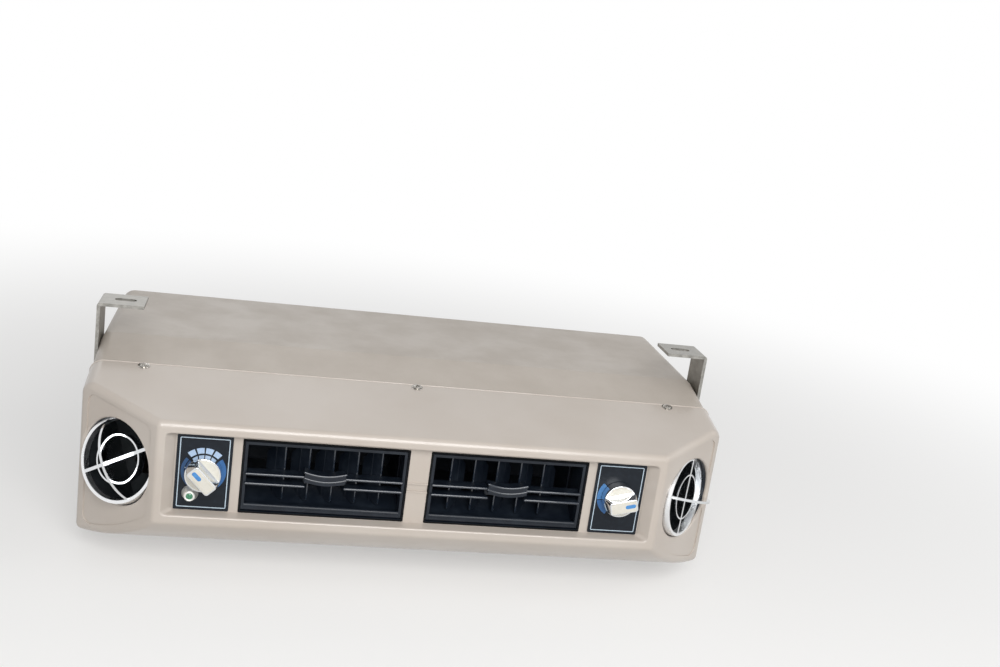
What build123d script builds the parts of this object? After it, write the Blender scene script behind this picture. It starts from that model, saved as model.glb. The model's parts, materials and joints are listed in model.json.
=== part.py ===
from build123d import *
import math
import os

# A hang-on air-conditioning unit for below a car's dashboard. Millimetres, +Z up, +X to the right
# as the passengers see it, +Y back under the dash. Pieces are laid out from the middle of the
# front face, and finish() moves them so that the origin lies midway between the two hanger bolts,
# on the hangers' top faces.

# Housing outline
face_width = 366.0          # flat front face, between the cheeks
face_height = 75.0
face_top = 40.0             # above the height that the layout starts from
cheek_angle = 40.0          # turn of each cheek away from the face
roof_slope = 11.5
chin_radius = 82.0          # the chin curves from the face down into the flat bottom
case_height = 132.0
case_top = 65.0
case_depth = 264.0
bezel_depth = 78.0          # seam between the front bezel and the rear case
wall = 3.0                  # bezel moulding
edge_radius = 5.0
side_radius = 10.0          # roof's long side edges
rear_radius = 12.0
rim_edge = 0.8              # rounding of the bezel's rear rim, along the seam

# Rear case and pan
case_step = 1.0             # rear case stands this far inside the bezel's outer skin
case_wall = 2.8
tongue_length = 10.0        # stretch of the case that slides into the bezel
tongue_gap = 0.1
pan_height = 32.0           # from the case's bottom to where the pan meets the upper case
grille_slots = 22
grille_slot_width = 6.0
grille_slot_length = 52.0
grille_pitch = 14.0
grille_setback = 14.0       # return-air slots behind the seam

# Recess in the face
recess_depth = 8.0
recess_side = 5.0           # face left beside, above and below the recess
recess_above = 7.8
recess_below = 6.4
recess_draft_x = 7.0        # narrowing of the recess from mouth to floor, each end
recess_draft_z = 1.3
recess_radius = 3.0
recess_edge = 1.5           # rounding of the recess's mouth
hole_edge = 0.8             # rounding of the round outlets' holes
bridge_width = 15.0         # floor left between the two louvres
bridge_drop = 1.6           # groove's middle below the recess floor's
bridge_groove_height = 5.2
bridge_groove_depth = 0.8
bridge_lip = 1.2

# Cheek panels and round outlets
panel_inset = 6.0
panel_sink = 0.8
panel_radius = 7.0
outlet_hole_r = 32.0
outlet_inner_margin = 7.0   # cheek left beside the hole, towards the face and towards the side
outlet_outer_margin = 3.4
outlet_drop = 4.4           # outlet's centre below the face's middle
ball_sink = 9.0             # ball's centre behind the cheek's surface
ball_front = 7.5            # rim's height in front of the ball's centre
ring_rear = 14.0            # where the bright ring meets the black bowl, behind the ball's centre
bowl_rear = 28.0
ball_skin = 1.8
seat_gap = 0.3
socket_skin = 1.9
spigot_length = 20.0
inner_ring_share = 0.56     # inner ring's radius as a share of the ball's
inner_ring_skin = 1.2
grip_vane_rise = 18.0       # arch of the grip vane above the rim
grip_vane_thickness = 2.0
flat_vane_thickness = 2.4
vane_depth = 7.0

# Louvre vents
louvre_drop = 0.8           # louvre's middle below the recess floor's
louvre_margin = 1.1         # window's height less than the recess floor's, at each end
louvre_post = 6.5           # floor left between a louvre and the control plate beside it
louvre_fit = 0.2            # frame inside its window
frame_wall = 1.2
frame_depth = 44.0
frame_flange = 3.0
flange_thickness = 2.0
drum_gap = 0.3              # drum's skin inside the frame
drum_end_gap = 0.4
drum_skin = 2.0
drum_front = 6.0            # from the tilt axis forward to the drum's front edge
drum_rear = 19.0
drum_set_back = 1.0         # drum's front edge behind the recess floor
drum_lip = 3.4              # rounded lip along the drum's lower front edge
drum_pin_r = 2.5
pin_gap = 0.05
blade_spacing = 7.3
blade_thickness = 1.4
blade_drop = 1.6            # middle of the two blades below the tilt axis
blade_reach = 1.0           # blades in front of the drum's edge
blade_depth = 9.0
tab_width = 29.0
tab_height = 6.3
tab_rise = 3.0              # tab's upper corners above the upper blade
tab_sag = 2.4
tab_reach = 2.6
vane_count = 5
vane_pitch = 17.4
vane_setback = 13.0         # vanes' swivel axis behind the tilt axis
vane_chord = 18.0
vane_thickness = 1.6
vane_corner = 2.0
vane_pin_r = 1.0
vane_turn = 42.0            # rest angle, front edges towards the unit's middle

# Controls
plate_width = 38.0
plate_side_gap = 1.0        # recess floor left beside each plate, and above and below it
plate_gap = 1.0
plate_thickness = 1.2
plate_radius = 1.0
knob_rise = 1.4             # knob's centre above the plate's middle
knob_r = 12.6
knob_base = 8.0             # height of the round base, where the grip bar starts
knob_height = 18.5
knob_bore = 14.0
knob_draft = 1.5
knob_edge = 0.6
grip_width = 11.0           # at the foot of the grip bar
grip_top_width = 9.8
grip_top_length = 20.8
grip_corner = 2.0
scoop_height = 8.0          # thumb scoop in each side of the grip bar
scoop_depth = 1.4
knob_gap = 0.6              # knob in front of its plate
shaft_r = 3.0
bushing_r = 4.7
switch_size = 30.0
switch_depth = 20.0
switch_bore = 20.0          # bore for the shaft, from the bushing's front
lamp_side = 8.0             # pilot lamp's centre outside and below the fan knob's
lamp_drop = 16.9
lamp_r = 5.8
lamp_front_r = 3.7
lamp_height = 6.0
lens_r = 2.8
lens_rise = 0.6

# Inside and behind
core_width = 340.0
core_depth = 60.0
core_rear_gap = 33.5        # from the core to the inside of the back wall
core_headroom = 9.0         # from the core to the inside of the roof
hanger_y = 123.0
hanger_width = 30.0
hanger_thickness = 2.5
hanger_rise = 25.0          # flange's top face above the roof
hanger_foot = 34.0          # strap's lower end below the roof
flange_reach = 34.0
slot_centre_in = 19.0       # bolt slot's centre in from the strap's outer face
slot_width = 6.6
slot_length = 16.0
pipe_z = 10.0
pipe_reach = 30.0           # fittings behind the back wall
pipe_hole_gap = 1.0
pipe_bore_share = 0.7
nut_set_back = 2.0          # nuts behind the back wall
drain_from_side = 38.5      # drains' centres in from the case's sides and back
drain_from_back = 22.5
drain_r = 6.0
drain_bore_r = 4.0
drain_length = 16.0

# Worked out from the sizes above
face_bottom = face_top - face_height
case_bottom = case_top - case_height
pan_top = case_bottom + pan_height
cheek_length = outlet_inner_margin + 2 * outlet_hole_r + outlet_outer_margin
cheek_run = cheek_length * math.cos(math.radians(cheek_angle))
cheek_rise = cheek_length * math.sin(math.radians(cheek_angle))
case_width = face_width + 2 * cheek_run
case_side = case_width / 2 - case_step
case_back = case_depth - case_step
roof_run = (case_top - face_top) / math.tan(math.radians(roof_slope))
chin_run = math.sqrt(chin_radius ** 2 - (chin_radius - face_bottom + case_bottom) ** 2)
outlet_along = outlet_inner_margin + outlet_hole_r
outlet_z = (face_top + face_bottom) / 2 - outlet_drop
ball_r = outlet_hole_r
recess_width = face_width - 2 * recess_side
recess_top = face_top - recess_above
recess_bottom = face_bottom + recess_below
floor_mid = (recess_top + recess_bottom) / 2
floor_half_width = recess_width / 2 - recess_draft_x
floor_height = recess_top - recess_bottom - 2 * recess_draft_z
plate_height = floor_height - 2 * plate_gap
plate_x = floor_half_width - plate_side_gap - plate_width / 2
knob_z = floor_mid + knob_rise
lamp_x = -plate_x - lamp_side
lamp_z = knob_z - lamp_drop
louvre_width = plate_x - plate_width / 2 - louvre_post - bridge_width / 2
louvre_height = floor_height - 2 * louvre_margin
louvre_z = floor_mid - louvre_drop
louvre_x = (bridge_width + louvre_width) / 2
drum_r = louvre_height / 2 - louvre_fit - frame_wall - drum_gap
drum_half = louvre_width / 2 - louvre_fit - frame_wall - drum_end_gap
tilt_y = recess_depth + drum_set_back + drum_front
bolt_z = case_top + hanger_rise
pan_floor = case_bottom + case_step + case_wall
core_rear = case_back - case_wall - core_rear_gap

# Each outlet's aim at rest: side, degrees up, degrees inwards, turn of the grip vane from upright
OUTLETS = {
    "left": (-1, 16.0, 7.5, 32.0),
    "right": (1, 4.0, -7.5, 75.0),
}

# Hose ends: distance in from the core's right end, pipe radius, half the nut's width across flats, its length
PIPES = {
    "suction_fitting": (52.0, 8.0, 13.0, 16.0),
    "liquid_fitting": (15.0, 4.8, 8.5, 13.0),
}

# Controls: side, pointer's angle at rest from +X towards +Z
KNOBS = {
    "fan": (-1, 134.0),
    "temp": (1, 14.0),
}


def finish(name, shape):
    """Move a piece from the face's middle to the hanger bolts and write it."""
    shape = Location((0, -hanger_y, -bolt_z)) * shape
    shape.label = name
    export_step(shape, os.path.join("parts", name + ".step"))


def block(x0, x1, y0, y1, z0, z1):
    """A box between two corners."""
    return Pos((x0 + x1) / 2, (y0 + y1) / 2, (z0 + z1) / 2) * Box(x1 - x0, y1 - y0, z1 - z0)


def chin_z(y):
    """Height of the curved chin at a distance behind the face."""
    return case_bottom + chin_radius - math.sqrt(chin_radius ** 2 - (chin_run - y) ** 2)


def housing_form(inset):
    """The housing's outline as a solid: its side view crossed with its plan, drawn in by inset."""
    side = [ThreePointArc((0, face_bottom), (chin_run / 2, chin_z(chin_run / 2)), (chin_run, case_bottom)),
            Polyline((chin_run, case_bottom), (case_depth, case_bottom), (case_depth, case_top),
                     (roof_run, case_top), (0, face_top), (0, face_bottom))]
    half = case_width / 2
    plan = Polyline((-half, case_depth), (-half, cheek_rise), (-face_width / 2, 0),
                    (face_width / 2, 0), (half, cheek_rise), (half, case_depth), close=True)
    side_face = Plane.YZ * make_face(side)
    plan_face = make_face(plan)
    if inset:
        side_face = offset(side_face, -inset, kind=Kind.INTERSECTION)
        plan_face = offset(plan_face, -inset, kind=Kind.INTERSECTION)
    return extrude(side_face, case_width, both=True) & extrude(plan_face, case_width, both=True)


def stretch(y0, y1):
    """A slab across the housing between two distances from the face."""
    return block(-case_width, case_width, y0, y1, -case_width, case_width)


def along_y(edge):
    """True for an edge that runs from front to rear."""
    d = edge.tangent_at(0.5)
    return abs(d.X) < 0.01 and abs(d.Y) > 0.5


def front_form(inset):
    """The front part of the housing with its edges rounded, back to the seam."""
    form = housing_form(inset) & stretch(-bezel_depth, bezel_depth)
    roof = [e for e in form.edges() if along_y(e) and e.center().Z > 0]
    form = fillet(roof, side_radius - inset)
    if not inset:
        form = fillet([e for e in form.edges() if front_edge(e)], edge_radius)
        form = fillet([e for e in form.edges() if e.center().Y > bezel_depth - 0.1], rim_edge)
    return form


def front_edge(edge):
    """True for an edge of the face, the cheeks or the chin's sides, not where chin and bottom run smooth."""
    middle = edge.center()
    if middle.Z > 0:
        return middle.Y < cheek_rise + 1
    return middle.Y < bezel_depth - 0.1 and (middle.Y < chin_run - 0.1 or along_y(edge))


def recess(grow):
    """The tapered pocket in the face, or the moulding round it when grown by a wall."""
    height = recess_top - recess_bottom
    mouth = Plane((0, 0, floor_mid), x_dir=(1, 0, 0), z_dir=(0, 1, 0)) * RectangleRounded(
        recess_width + 2 * grow, height + 2 * grow, recess_radius + grow)
    base = Plane((0, recess_depth + grow, floor_mid), x_dir=(1, 0, 0), z_dir=(0, 1, 0)) * RectangleRounded(
        2 * (floor_half_width + grow), floor_height + 2 * grow, recess_radius + grow)
    return loft([mouth, base])


def cheek_plane(side):
    """A plane on a cheek: X from its inner edge outwards, Y up, Z out of the housing."""
    turn = math.radians(cheek_angle)
    x_dir = Vector(side * math.cos(turn), math.sin(turn), 0)
    z_dir = Vector(side * math.sin(turn), -math.cos(turn), 0)
    if side > 0:
        return Plane((face_width / 2, 0, 0), x_dir=x_dir, z_dir=z_dir)
    return Plane((-face_width / 2, 0, 0), x_dir=x_dir * -1, z_dir=z_dir)


def cheek_panel(side):
    """The shallow sunk panel that follows a cheek's outline."""
    top = face_top + cheek_rise * math.tan(math.radians(roof_slope))
    middle = (side * cheek_length / 2, chin_z(cheek_rise / 2))
    corner = (side * cheek_length, chin_z(cheek_rise))
    outline = [Polyline((0, face_bottom), (0, face_top), (side * cheek_length, top), corner),
               ThreePointArc(corner, middle, (0, face_bottom))]
    panel = offset(make_face(outline), -panel_inset, kind=Kind.INTERSECTION)
    panel = fillet(panel.vertices(), panel_radius)
    return cheek_plane(side) * extrude(panel, panel_sink, both=True)


def outlet_hole(side):
    """The cutter for a round outlet's hole, flared where it meets the sunk panel."""
    flare = Pos(0, 0, -panel_sink - hole_edge) * extrude(Circle(outlet_hole_r), 2 * hole_edge, taper=-45)
    hole = Cylinder(outlet_hole_r, 8 * wall) + flare
    return cheek_plane(side) * Pos(side * outlet_along, outlet_z, 0) * hole


def recess_mouth(shape):
    """The edges round the recess, in the face's plane."""
    half_x = recess_width / 2 + 0.5 * recess_side
    half_z = (recess_top - recess_bottom) / 2 + 0.5 * recess_below
    return [e for e in shape.edges() if abs(e.center().Y) < 0.01 and abs(e.center().X) < half_x
            and abs(e.center().Z - floor_mid) < half_z]


def front_bezel():
    """Thin moulding with two cheeks, a recess, louvre windows and round outlet holes."""
    bezel = front_form(0) - (front_form(wall) - recess(wall)) - recess(0)
    bezel = fillet(recess_mouth(bezel), recess_edge)
    for side in (-1, 1):
        bezel -= cheek_panel(side)
        bezel -= outlet_hole(side)
        bezel -= at(side * louvre_x, recess_depth, louvre_z) * Box(
            louvre_width, 4 * wall, louvre_height)
        bezel -= at(side * plate_x, recess_depth, knob_z) * Rot(90, 0, 0) * Cylinder(bushing_r, 4 * wall)
    return bridge_band(bezel)


def bridge_band(bezel):
    """Groove with a thin raised lip above and below it, across the bridge between the louvres."""
    middle = floor_mid - bridge_drop
    bezel -= at(0, recess_depth, middle) * Box(bridge_width, 2 * bridge_groove_depth, bridge_groove_height)
    for way in (-1, 1):
        lip_z = middle + way * (bridge_groove_height + bridge_lip) / 2
        bezel += at(0, recess_depth, lip_z) * Box(bridge_width, bridge_lip, bridge_lip)
    return bezel


def case_form(inset):
    """The whole housing's outline, drawn in by inset, with its sides and rear edges rounded."""
    form = housing_form(inset)
    form = fillet([e for e in form.edges() if along_y(e) and e.center().Z > 0], side_radius - inset)
    if inset < edge_radius:
        form = fillet([e for e in form.edges() if along_y(e) and e.center().Z < 0], edge_radius - inset)
    corners = form.edges().filter_by(Axis.Z)
    return fillet([e for e in corners if e.center().Y > case_depth / 2], rear_radius - inset)


def case_shell():
    """The rear case and its pan as one thin shell, with the tongue that slides into the bezel."""
    shell = (case_form(case_step) & stretch(bezel_depth, 2 * case_depth)) - case_form(case_step + case_wall)
    tongue_inset = wall + tongue_gap
    tongue = case_form(tongue_inset) - case_form(tongue_inset + case_wall)
    return shell + (tongue & stretch(bezel_depth - tongue_length, bezel_depth + case_wall))


def rear_case():
    """Roof, sides and back wall, with holes for the two hose ends."""
    case = case_shell() & block(-case_width, case_width, 0, 2 * case_depth, pan_top, case_width)
    for inward, pipe_r, nut_r, nut_length in PIPES.values():
        case -= at(core_width / 2 - inward, case_back, pipe_z) * Rot(90, 0, 0) * Cylinder(
            pipe_r + pipe_hole_gap, 8 * case_wall)
    return case


def case_pan():
    """The tray under the case: return-air slots across it and a drain hole at each rear corner."""
    pan = case_shell() & block(-case_width, case_width, 0, 2 * case_depth, -case_width, pan_top)
    slot = Box(grille_slot_width, grille_slot_length, 8 * case_wall)
    for i in range(grille_slots):
        x = (i - (grille_slots - 1) / 2) * grille_pitch
        pan -= at(x, bezel_depth + grille_setback + grille_slot_length / 2, pan_floor) * slot
    for side in (-1, 1):
        pan -= drain_place(side) * Cylinder(drain_bore_r, 8 * case_wall)
    return pan


def drain_place(side):
    """Middle of a drain's hole in the pan's floor."""
    return at(side * (case_side - drain_from_side), case_back - drain_from_back, pan_floor - case_wall / 2)


def drain_spout(side):
    """Short pipe under the pan, for a drain hose."""
    pipe = Cylinder(drain_r, drain_length) - Cylinder(drain_bore_r, 2 * drain_length)
    return drain_place(side) * Pos(0, 0, -(case_wall + drain_length) / 2) * pipe


def evaporator_core():
    """The finned heat exchanger behind the slots, as a plain block on the pan's floor."""
    top = case_top - case_step - case_wall - core_headroom
    return block(-core_width / 2, core_width / 2, core_rear - core_depth, core_rear, pan_floor, top)


def pipe_end(inward, pipe_r, nut_r, nut_length):
    """A hose end: pipe from the core through the back wall, with a hexagon nut outside it."""
    length = case_back + pipe_reach - core_rear
    pipe = Pos(0, 0, length / 2) * Cylinder(pipe_r, length)
    pipe += Pos(0, 0, length - pipe_reach + nut_set_back) * extrude(
        RegularPolygon(nut_r, 6, major_radius=False), nut_length)
    pipe -= Pos(0, 0, length) * Cylinder(pipe_bore_share * pipe_r, 2 * pipe_reach)
    return Plane((core_width / 2 - inward, core_rear, pipe_z), x_dir=(1, 0, 0), z_dir=(0, 1, 0)) * pipe


def hanger(side):
    """A steel strap on the case's side, bent over the roof at the top, with a slot for the bolt."""
    outside = case_side + hanger_thickness
    inside = outside - flange_reach
    foot_z = case_top - hanger_foot
    outline = Polyline((case_side, foot_z), (case_side, bolt_z - hanger_thickness),
                       (inside, bolt_z - hanger_thickness), (inside, bolt_z), (outside, bolt_z),
                       (outside, foot_z), close=True)
    strap = extrude(Plane.XZ * make_face(outline), hanger_width / 2, both=True)
    bend = strap.edges().filter_by(Axis.Y).sort_by(lambda e: e.center().X + e.center().Z)[-1]
    strap = fillet(bend, hanger_thickness)
    foot = strap.edges().filter_by(Axis.X).sort_by(Axis.Z)[:2]
    strap = fillet(foot, hanger_width / 4)
    slot = extrude(SlotOverall(slot_length, slot_width), 3 * hanger_thickness, both=True)
    strap -= at(outside - slot_centre_in, 0, bolt_z) * slot
    strap = at(0, hanger_y, 0) * strap
    return strap if side > 0 else mirror(strap, Plane.YZ)


def ball_aim(side, up, inwards, turn):
    """The ball's place at rest: its Z is the outlet's axis and its Y runs along the grip vane."""
    plane = cheek_plane(side)
    centre = plane.from_local_coords(Vector(side * outlet_along, outlet_z, -ball_sink))
    axis = (plane.z_dir + Vector(0, 0, 1) * math.tan(math.radians(up))
            - plane.x_dir * side * math.tan(math.radians(inwards))).normalized()
    level = axis.cross(Vector(0, 0, 1)).normalized()
    upright = level.cross(axis)
    angle = math.radians(turn)
    grip = upright * math.cos(angle) + level * math.sin(angle)
    return Plane(centre, x_dir=grip.cross(axis), z_dir=axis)


def sphere_point(radius, z):
    """A point of a circle about the origin in the XZ plane, at height z."""
    return (math.sqrt(radius ** 2 - z ** 2), 0, z)


def zone(radius, skin, z0, z1, middle):
    """A thin spherical belt between two heights, turned about Z."""
    inner = radius - skin
    outline = [
        ThreePointArc(sphere_point(radius, z0), sphere_point(radius, middle), sphere_point(radius, z1)),
        Line(sphere_point(radius, z1), sphere_point(inner, z1)),
        ThreePointArc(sphere_point(inner, z1), sphere_point(inner, middle), sphere_point(inner, z0)),
        Line(sphere_point(inner, z0), sphere_point(radius, z0)),
    ]
    return revolve(make_face(outline), Axis.Z)


def ball_ring(place):
    """Bright ring: the front belt of the ball."""
    return place * zone(ball_r, ball_skin, -ring_rear, ball_front, 0)


def ball_vanes(place):
    """Inner ring, flat vane and arched grip vane that span the bright ring."""
    rim = math.sqrt((ball_r - ball_skin) ** 2 - ball_front ** 2)
    low = ball_front - vane_depth
    middle = Pos(0, 0, ball_front - vane_depth / 2)
    vanes = middle * (Cylinder(inner_ring_share * ball_r, vane_depth)
                      - Cylinder(inner_ring_share * ball_r - inner_ring_skin, 2 * vane_depth))
    vanes += middle * Box(2 * ball_r, flat_vane_thickness, vane_depth)
    arch = make_face([ThreePointArc((0, -rim, ball_front), (0, 0, ball_front + grip_vane_rise),
                                    (0, rim, ball_front)),
                      Polyline((0, rim, ball_front), (0, ball_r, low), (0, -ball_r, low),
                               (0, -rim, ball_front))])
    vanes += extrude(arch, grip_vane_thickness / 2, both=True)
    belt = zone(2 * ball_r, ball_r + ball_skin, -ring_rear, 2 * ball_front, 0)
    return place * (vanes - belt)


def ball_bowl(place):
    """Black bowl behind the ring, open at the back."""
    return place * zone(ball_r, ball_skin, -bowl_rear, -ring_rear, -(bowl_rear + ring_rear) / 2)


def ball_socket(side):
    """Seat round the ball, behind the cheek, with a spigot for the air hose."""
    seat_r = ball_r + seat_gap
    outer_r = seat_r + socket_skin
    front = ball_sink - wall
    length = front + ring_rear
    throat = math.sqrt(seat_r ** 2 - ring_rear ** 2)
    spigot = Pos(0, 0, -ring_rear - spigot_length / 2)
    seat = Pos(0, 0, front - length / 2) * Cylinder(outer_r, length)
    seat += spigot * Cylinder(throat + socket_skin, spigot_length)
    seat -= Sphere(seat_r)
    seat -= spigot * Cylinder(throat, 2 * spigot_length)
    return (cheek_plane(side) * Pos(side * outlet_along, outlet_z, -ball_sink) * seat) & front_form(wall)


def louvre_frame(side):
    """Black duct in the recess's window, with a flange behind the floor and the drum's bearings."""
    width = louvre_width - 2 * louvre_fit
    height = louvre_height - 2 * louvre_fit
    duct = Box(width, frame_depth, height)
    duct += Pos(0, wall + flange_thickness / 2 - frame_depth / 2, 0) * Box(
        width + 2 * frame_flange, flange_thickness, height + 2 * frame_flange)
    duct -= Box(width - 2 * frame_wall, 2 * frame_depth, height - 2 * frame_wall)
    duct = at(side * louvre_x, recess_depth + frame_depth / 2, louvre_z) * duct
    return duct - tilt_axis(side) * Rot(0, 90, 0) * Cylinder(drum_pin_r + pin_gap, 2 * louvre_width)


def tilt_axis(side):
    """Middle of a louvre drum's tilt axis."""
    return at(side * louvre_x, tilt_y, louvre_z)


def louvre_drum(side):
    """Tilting drum: curved bars above and below, end cheeks with pins, two blades and a thumb tab."""
    turned = Rot(0, 90, 0)
    span = 2 * drum_half
    slab = Pos(0, (drum_rear - drum_front) / 2, 0) * Box(2 * span, drum_rear + drum_front, 4 * drum_r)
    inside = turned * Cylinder(drum_r - drum_skin, span - 2 * drum_skin)
    drum = (turned * Cylinder(drum_r, span) - inside) & slab
    drum += turned * Cylinder(drum_pin_r, span + 2 * drum_end_gap + 2 * frame_wall)
    drum -= inside
    drum += lip()
    drum += blades() & turned * Cylinder(3 * drum_r, span - drum_skin)
    for i in range(vane_count):
        drum -= vane_place(i) * Cylinder(vane_pin_r + pin_gap, 4 * drum_r)
    return tilt_axis(side) * drum


def lip():
    """Rounded lip along the drum's lower front edge, inside its skin."""
    low = -math.sqrt((drum_r - drum_skin / 2) ** 2 - drum_front ** 2)
    section = Pos(drum_lip / 2 - drum_front, low + drum_lip / 2) * Rectangle(drum_lip, drum_lip)
    section = fillet(section.vertices(), 0.45 * drum_lip)
    return extrude(Plane.YZ * section, drum_half - drum_skin / 2, both=True)


def vane_place(i):
    """Swivel axis of one vane, from the middle of the drum's tilt axis."""
    return Pos((i - (vane_count - 1) / 2) * vane_pitch, vane_setback, 0)


def blades():
    """Two level blades that stop at the thumb tab, the web between them and the tab itself."""
    front = -drum_front - blade_reach
    middle = front + blade_depth / 2
    side_span = drum_half - tab_width / 2
    shape = Pos(0, front + blade_depth - blade_thickness / 2, -blade_drop) * Box(
        tab_width + blade_thickness, blade_thickness, blade_spacing + blade_thickness)
    for way in (-1, 1):
        for end in (-1, 1):
            shape += Pos(end * (tab_width + side_span) / 2, middle, way * blade_spacing / 2 - blade_drop) * Box(
                side_span, blade_depth, blade_thickness)
    return shape + thumb_tab(front - tab_reach, front + blade_depth)


def thumb_tab(front, rear):
    """Smile-shaped tab whose upper and lower edges sag towards the middle."""
    half = tab_width / 2
    top = blade_spacing / 2 + blade_thickness / 2 - blade_drop + tab_rise
    low = top - tab_height
    outline = make_face([
        ThreePointArc((-half, 0, top), (0, 0, top - tab_sag), (half, 0, top)),
        Line((half, 0, top), (half, 0, low)),
        ThreePointArc((half, 0, low), (0, 0, low - tab_sag), (-half, 0, low)),
        Line((-half, 0, low), (-half, 0, top)),
    ])
    return Pos(0, rear, 0) * extrude(outline, rear - front, dir=(0, -1, 0))


def swivel_vane(side, i):
    """One upright vane on its two pins, cut back from front to rear to clear the drum's curve."""
    clear_r = drum_r - drum_skin - drum_gap
    front_y = vane_setback + vane_thickness - vane_chord / 2 * math.cos(math.radians(vane_turn))
    front_z, middle_z, rear_z = (math.sqrt(clear_r ** 2 - y ** 2) for y in (
        front_y, vane_setback + vane_pin_r, vane_setback + vane_chord / 2))
    outline = Polyline((-vane_chord / 2, -front_z), (0, -middle_z), (vane_chord / 2, -rear_z),
                       (vane_chord / 2, rear_z), (0, middle_z), (-vane_chord / 2, front_z), close=True)
    face = make_face(outline)
    face = fillet(face.vertices().group_by(Axis.X)[0], vane_corner)
    vane = extrude(Plane.YZ * face, vane_thickness / 2, both=True)
    pin_z = math.sqrt((drum_r - drum_skin / 3) ** 2 - (vane_setback + vane_pin_r) ** 2)
    vane += Cylinder(vane_pin_r, 2 * pin_z)
    return tilt_axis(side) * vane_place(i) * Rot(0, 0, -side * vane_turn) * vane


def control_plate(side):
    """Black plate on the recess floor, with a hole for the control's bushing."""
    plate = at(side * plate_x, recess_depth, floor_mid) * Rot(90, 0, 0) * extrude(
        RectangleRounded(plate_width, plate_height, plate_radius), plate_thickness)
    return plate - at(side * plate_x, recess_depth, knob_z) * Rot(90, 0, 0) * Cylinder(
        bushing_r, 4 * plate_thickness)


def control_switch(side):
    """Control body behind the recess floor, with the bushing that carries the shaft."""
    rear = recess_depth + wall
    front = recess_depth - plate_thickness
    place = at(side * plate_x, 0, knob_z)
    body = place * Pos(0, rear + switch_depth / 2, 0) * Box(switch_size, switch_depth, switch_size)
    body += place * Pos(0, (front + rear) / 2, 0) * Rot(90, 0, 0) * Cylinder(bushing_r, rear - front)
    return body - place * Pos(0, front + switch_bore / 2, 0) * Rot(90, 0, 0) * Cylinder(
        shaft_r + pin_gap, switch_bore)


def knob_place(side, pointer):
    """A knob's back face: X along its pointer, Z towards the passengers."""
    angle = math.radians(pointer)
    return Plane((side * plate_x, recess_depth - plate_thickness - knob_gap, knob_z),
                 x_dir=(math.cos(angle), 0, math.sin(angle)), z_dir=(0, -1, 0))


def knob(side, pointer):
    """Round base with a tapered grip bar across it, scooped on both sides and bored for the shaft."""
    base = extrude(Circle(knob_r), knob_base, taper=knob_draft)
    top_r = knob_r - knob_base * math.tan(math.radians(knob_draft))
    grip = loft([Pos(0, 0, knob_base) * RectangleRounded(2 * top_r, grip_width, grip_corner),
                 Pos(0, 0, knob_height) * RectangleRounded(grip_top_length, grip_top_width, grip_corner)])
    grip &= extrude(Circle(top_r), 2 * knob_height)
    grip = fillet(grip.edges().group_by(Axis.Z)[-1], knob_edge)
    base = fillet(base.edges().group_by(Axis.Z)[-1], knob_edge)
    for way in (-1, 1):
        grip -= scoop(way, top_r)
    return knob_place(side, pointer) * (base + grip - Cylinder(shaft_r, 2 * knob_bore))


def scoop(way, half):
    """A shallow dish in the grip bar's side, as wide as the bar is long at its foot."""
    outline_r = (half ** 2 + scoop_height ** 2) / (2 * scoop_height)
    ball = (outline_r ** 2 + scoop_depth ** 2) / (2 * scoop_depth)
    centre = Pos(0, way * (grip_width / 2 - scoop_depth + ball), knob_base + scoop_height - outline_r)
    return (centre * Sphere(ball)) & Pos(0, 0, knob_base + knob_height) * Box(
        4 * knob_r, 4 * knob_r, 2 * knob_height)


def knob_shaft(side, pointer):
    """Steel shaft from the bottom of the knob's bore to just short of the control body's."""
    length = knob_bore + switch_bore
    return knob_place(side, pointer) * Pos(0, 0, knob_bore - length / 2) * Cylinder(shaft_r, length)


def lamp_bezel():
    """Bright cone-shaped collar round the pilot lamp."""
    collar = loft([Circle(lamp_r), Pos(0, 0, lamp_height) * Circle(lamp_front_r)])
    return lamp_place() * (collar - Cylinder(lens_r, 4 * lamp_height))


def lamp_lens():
    """Green lens that fills the collar, with a domed front."""
    dome_r = 1.6 * lens_r
    height = lamp_height + lens_rise
    dome = Pos(0, 0, height - dome_r) * Sphere(dome_r)
    return lamp_place() * ((Pos(0, 0, height / 2) * Cylinder(lens_r, height)) & dome)


def lamp_place():
    """The lamp's seat on the fan control's plate, Z towards the passengers."""
    return Plane((lamp_x, recess_depth - plate_thickness, lamp_z), x_dir=(1, 0, 0), z_dir=(0, -1, 0))


def at(x, y, z):
    """A place in the housing."""
    return Pos(x, y, z)


def build():
    """Make every piece and write one file for each."""
    os.makedirs("parts", exist_ok=True)
    finish("front_bezel", front_bezel())
    finish("rear_case", rear_case())
    finish("case_pan", case_pan())
    finish("evaporator_core", evaporator_core())
    for name, sizes in PIPES.items():
        finish(name, pipe_end(*sizes))
    for name, (side, *aim) in OUTLETS.items():
        place = ball_aim(side, *aim)
        finish("hanger_" + name, hanger(side))
        finish("drain_spout_" + name, drain_spout(side))
        finish("ball_socket_" + name, ball_socket(side))
        finish("ball_ring_" + name, ball_ring(place))
        finish("ball_vanes_" + name, ball_vanes(place))
        finish("ball_bowl_" + name, ball_bowl(place))
        finish("louvre_frame_" + name, louvre_frame(side))
        finish("louvre_drum_" + name, louvre_drum(side))
        for i in range(vane_count):
            finish(f"swivel_vane_{name}_{i + 1}", swivel_vane(side, i))
    for name, (side, pointer) in KNOBS.items():
        finish(name + "_plate", control_plate(side))
        finish(name + "_switch", control_switch(side))
        finish(name + "_knob", knob(side, pointer))
        finish(name + "_shaft", knob_shaft(side, pointer))
    finish("lamp_bezel", lamp_bezel())
    finish("lamp_lens", lamp_lens())


build()
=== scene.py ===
import json
import math

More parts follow.
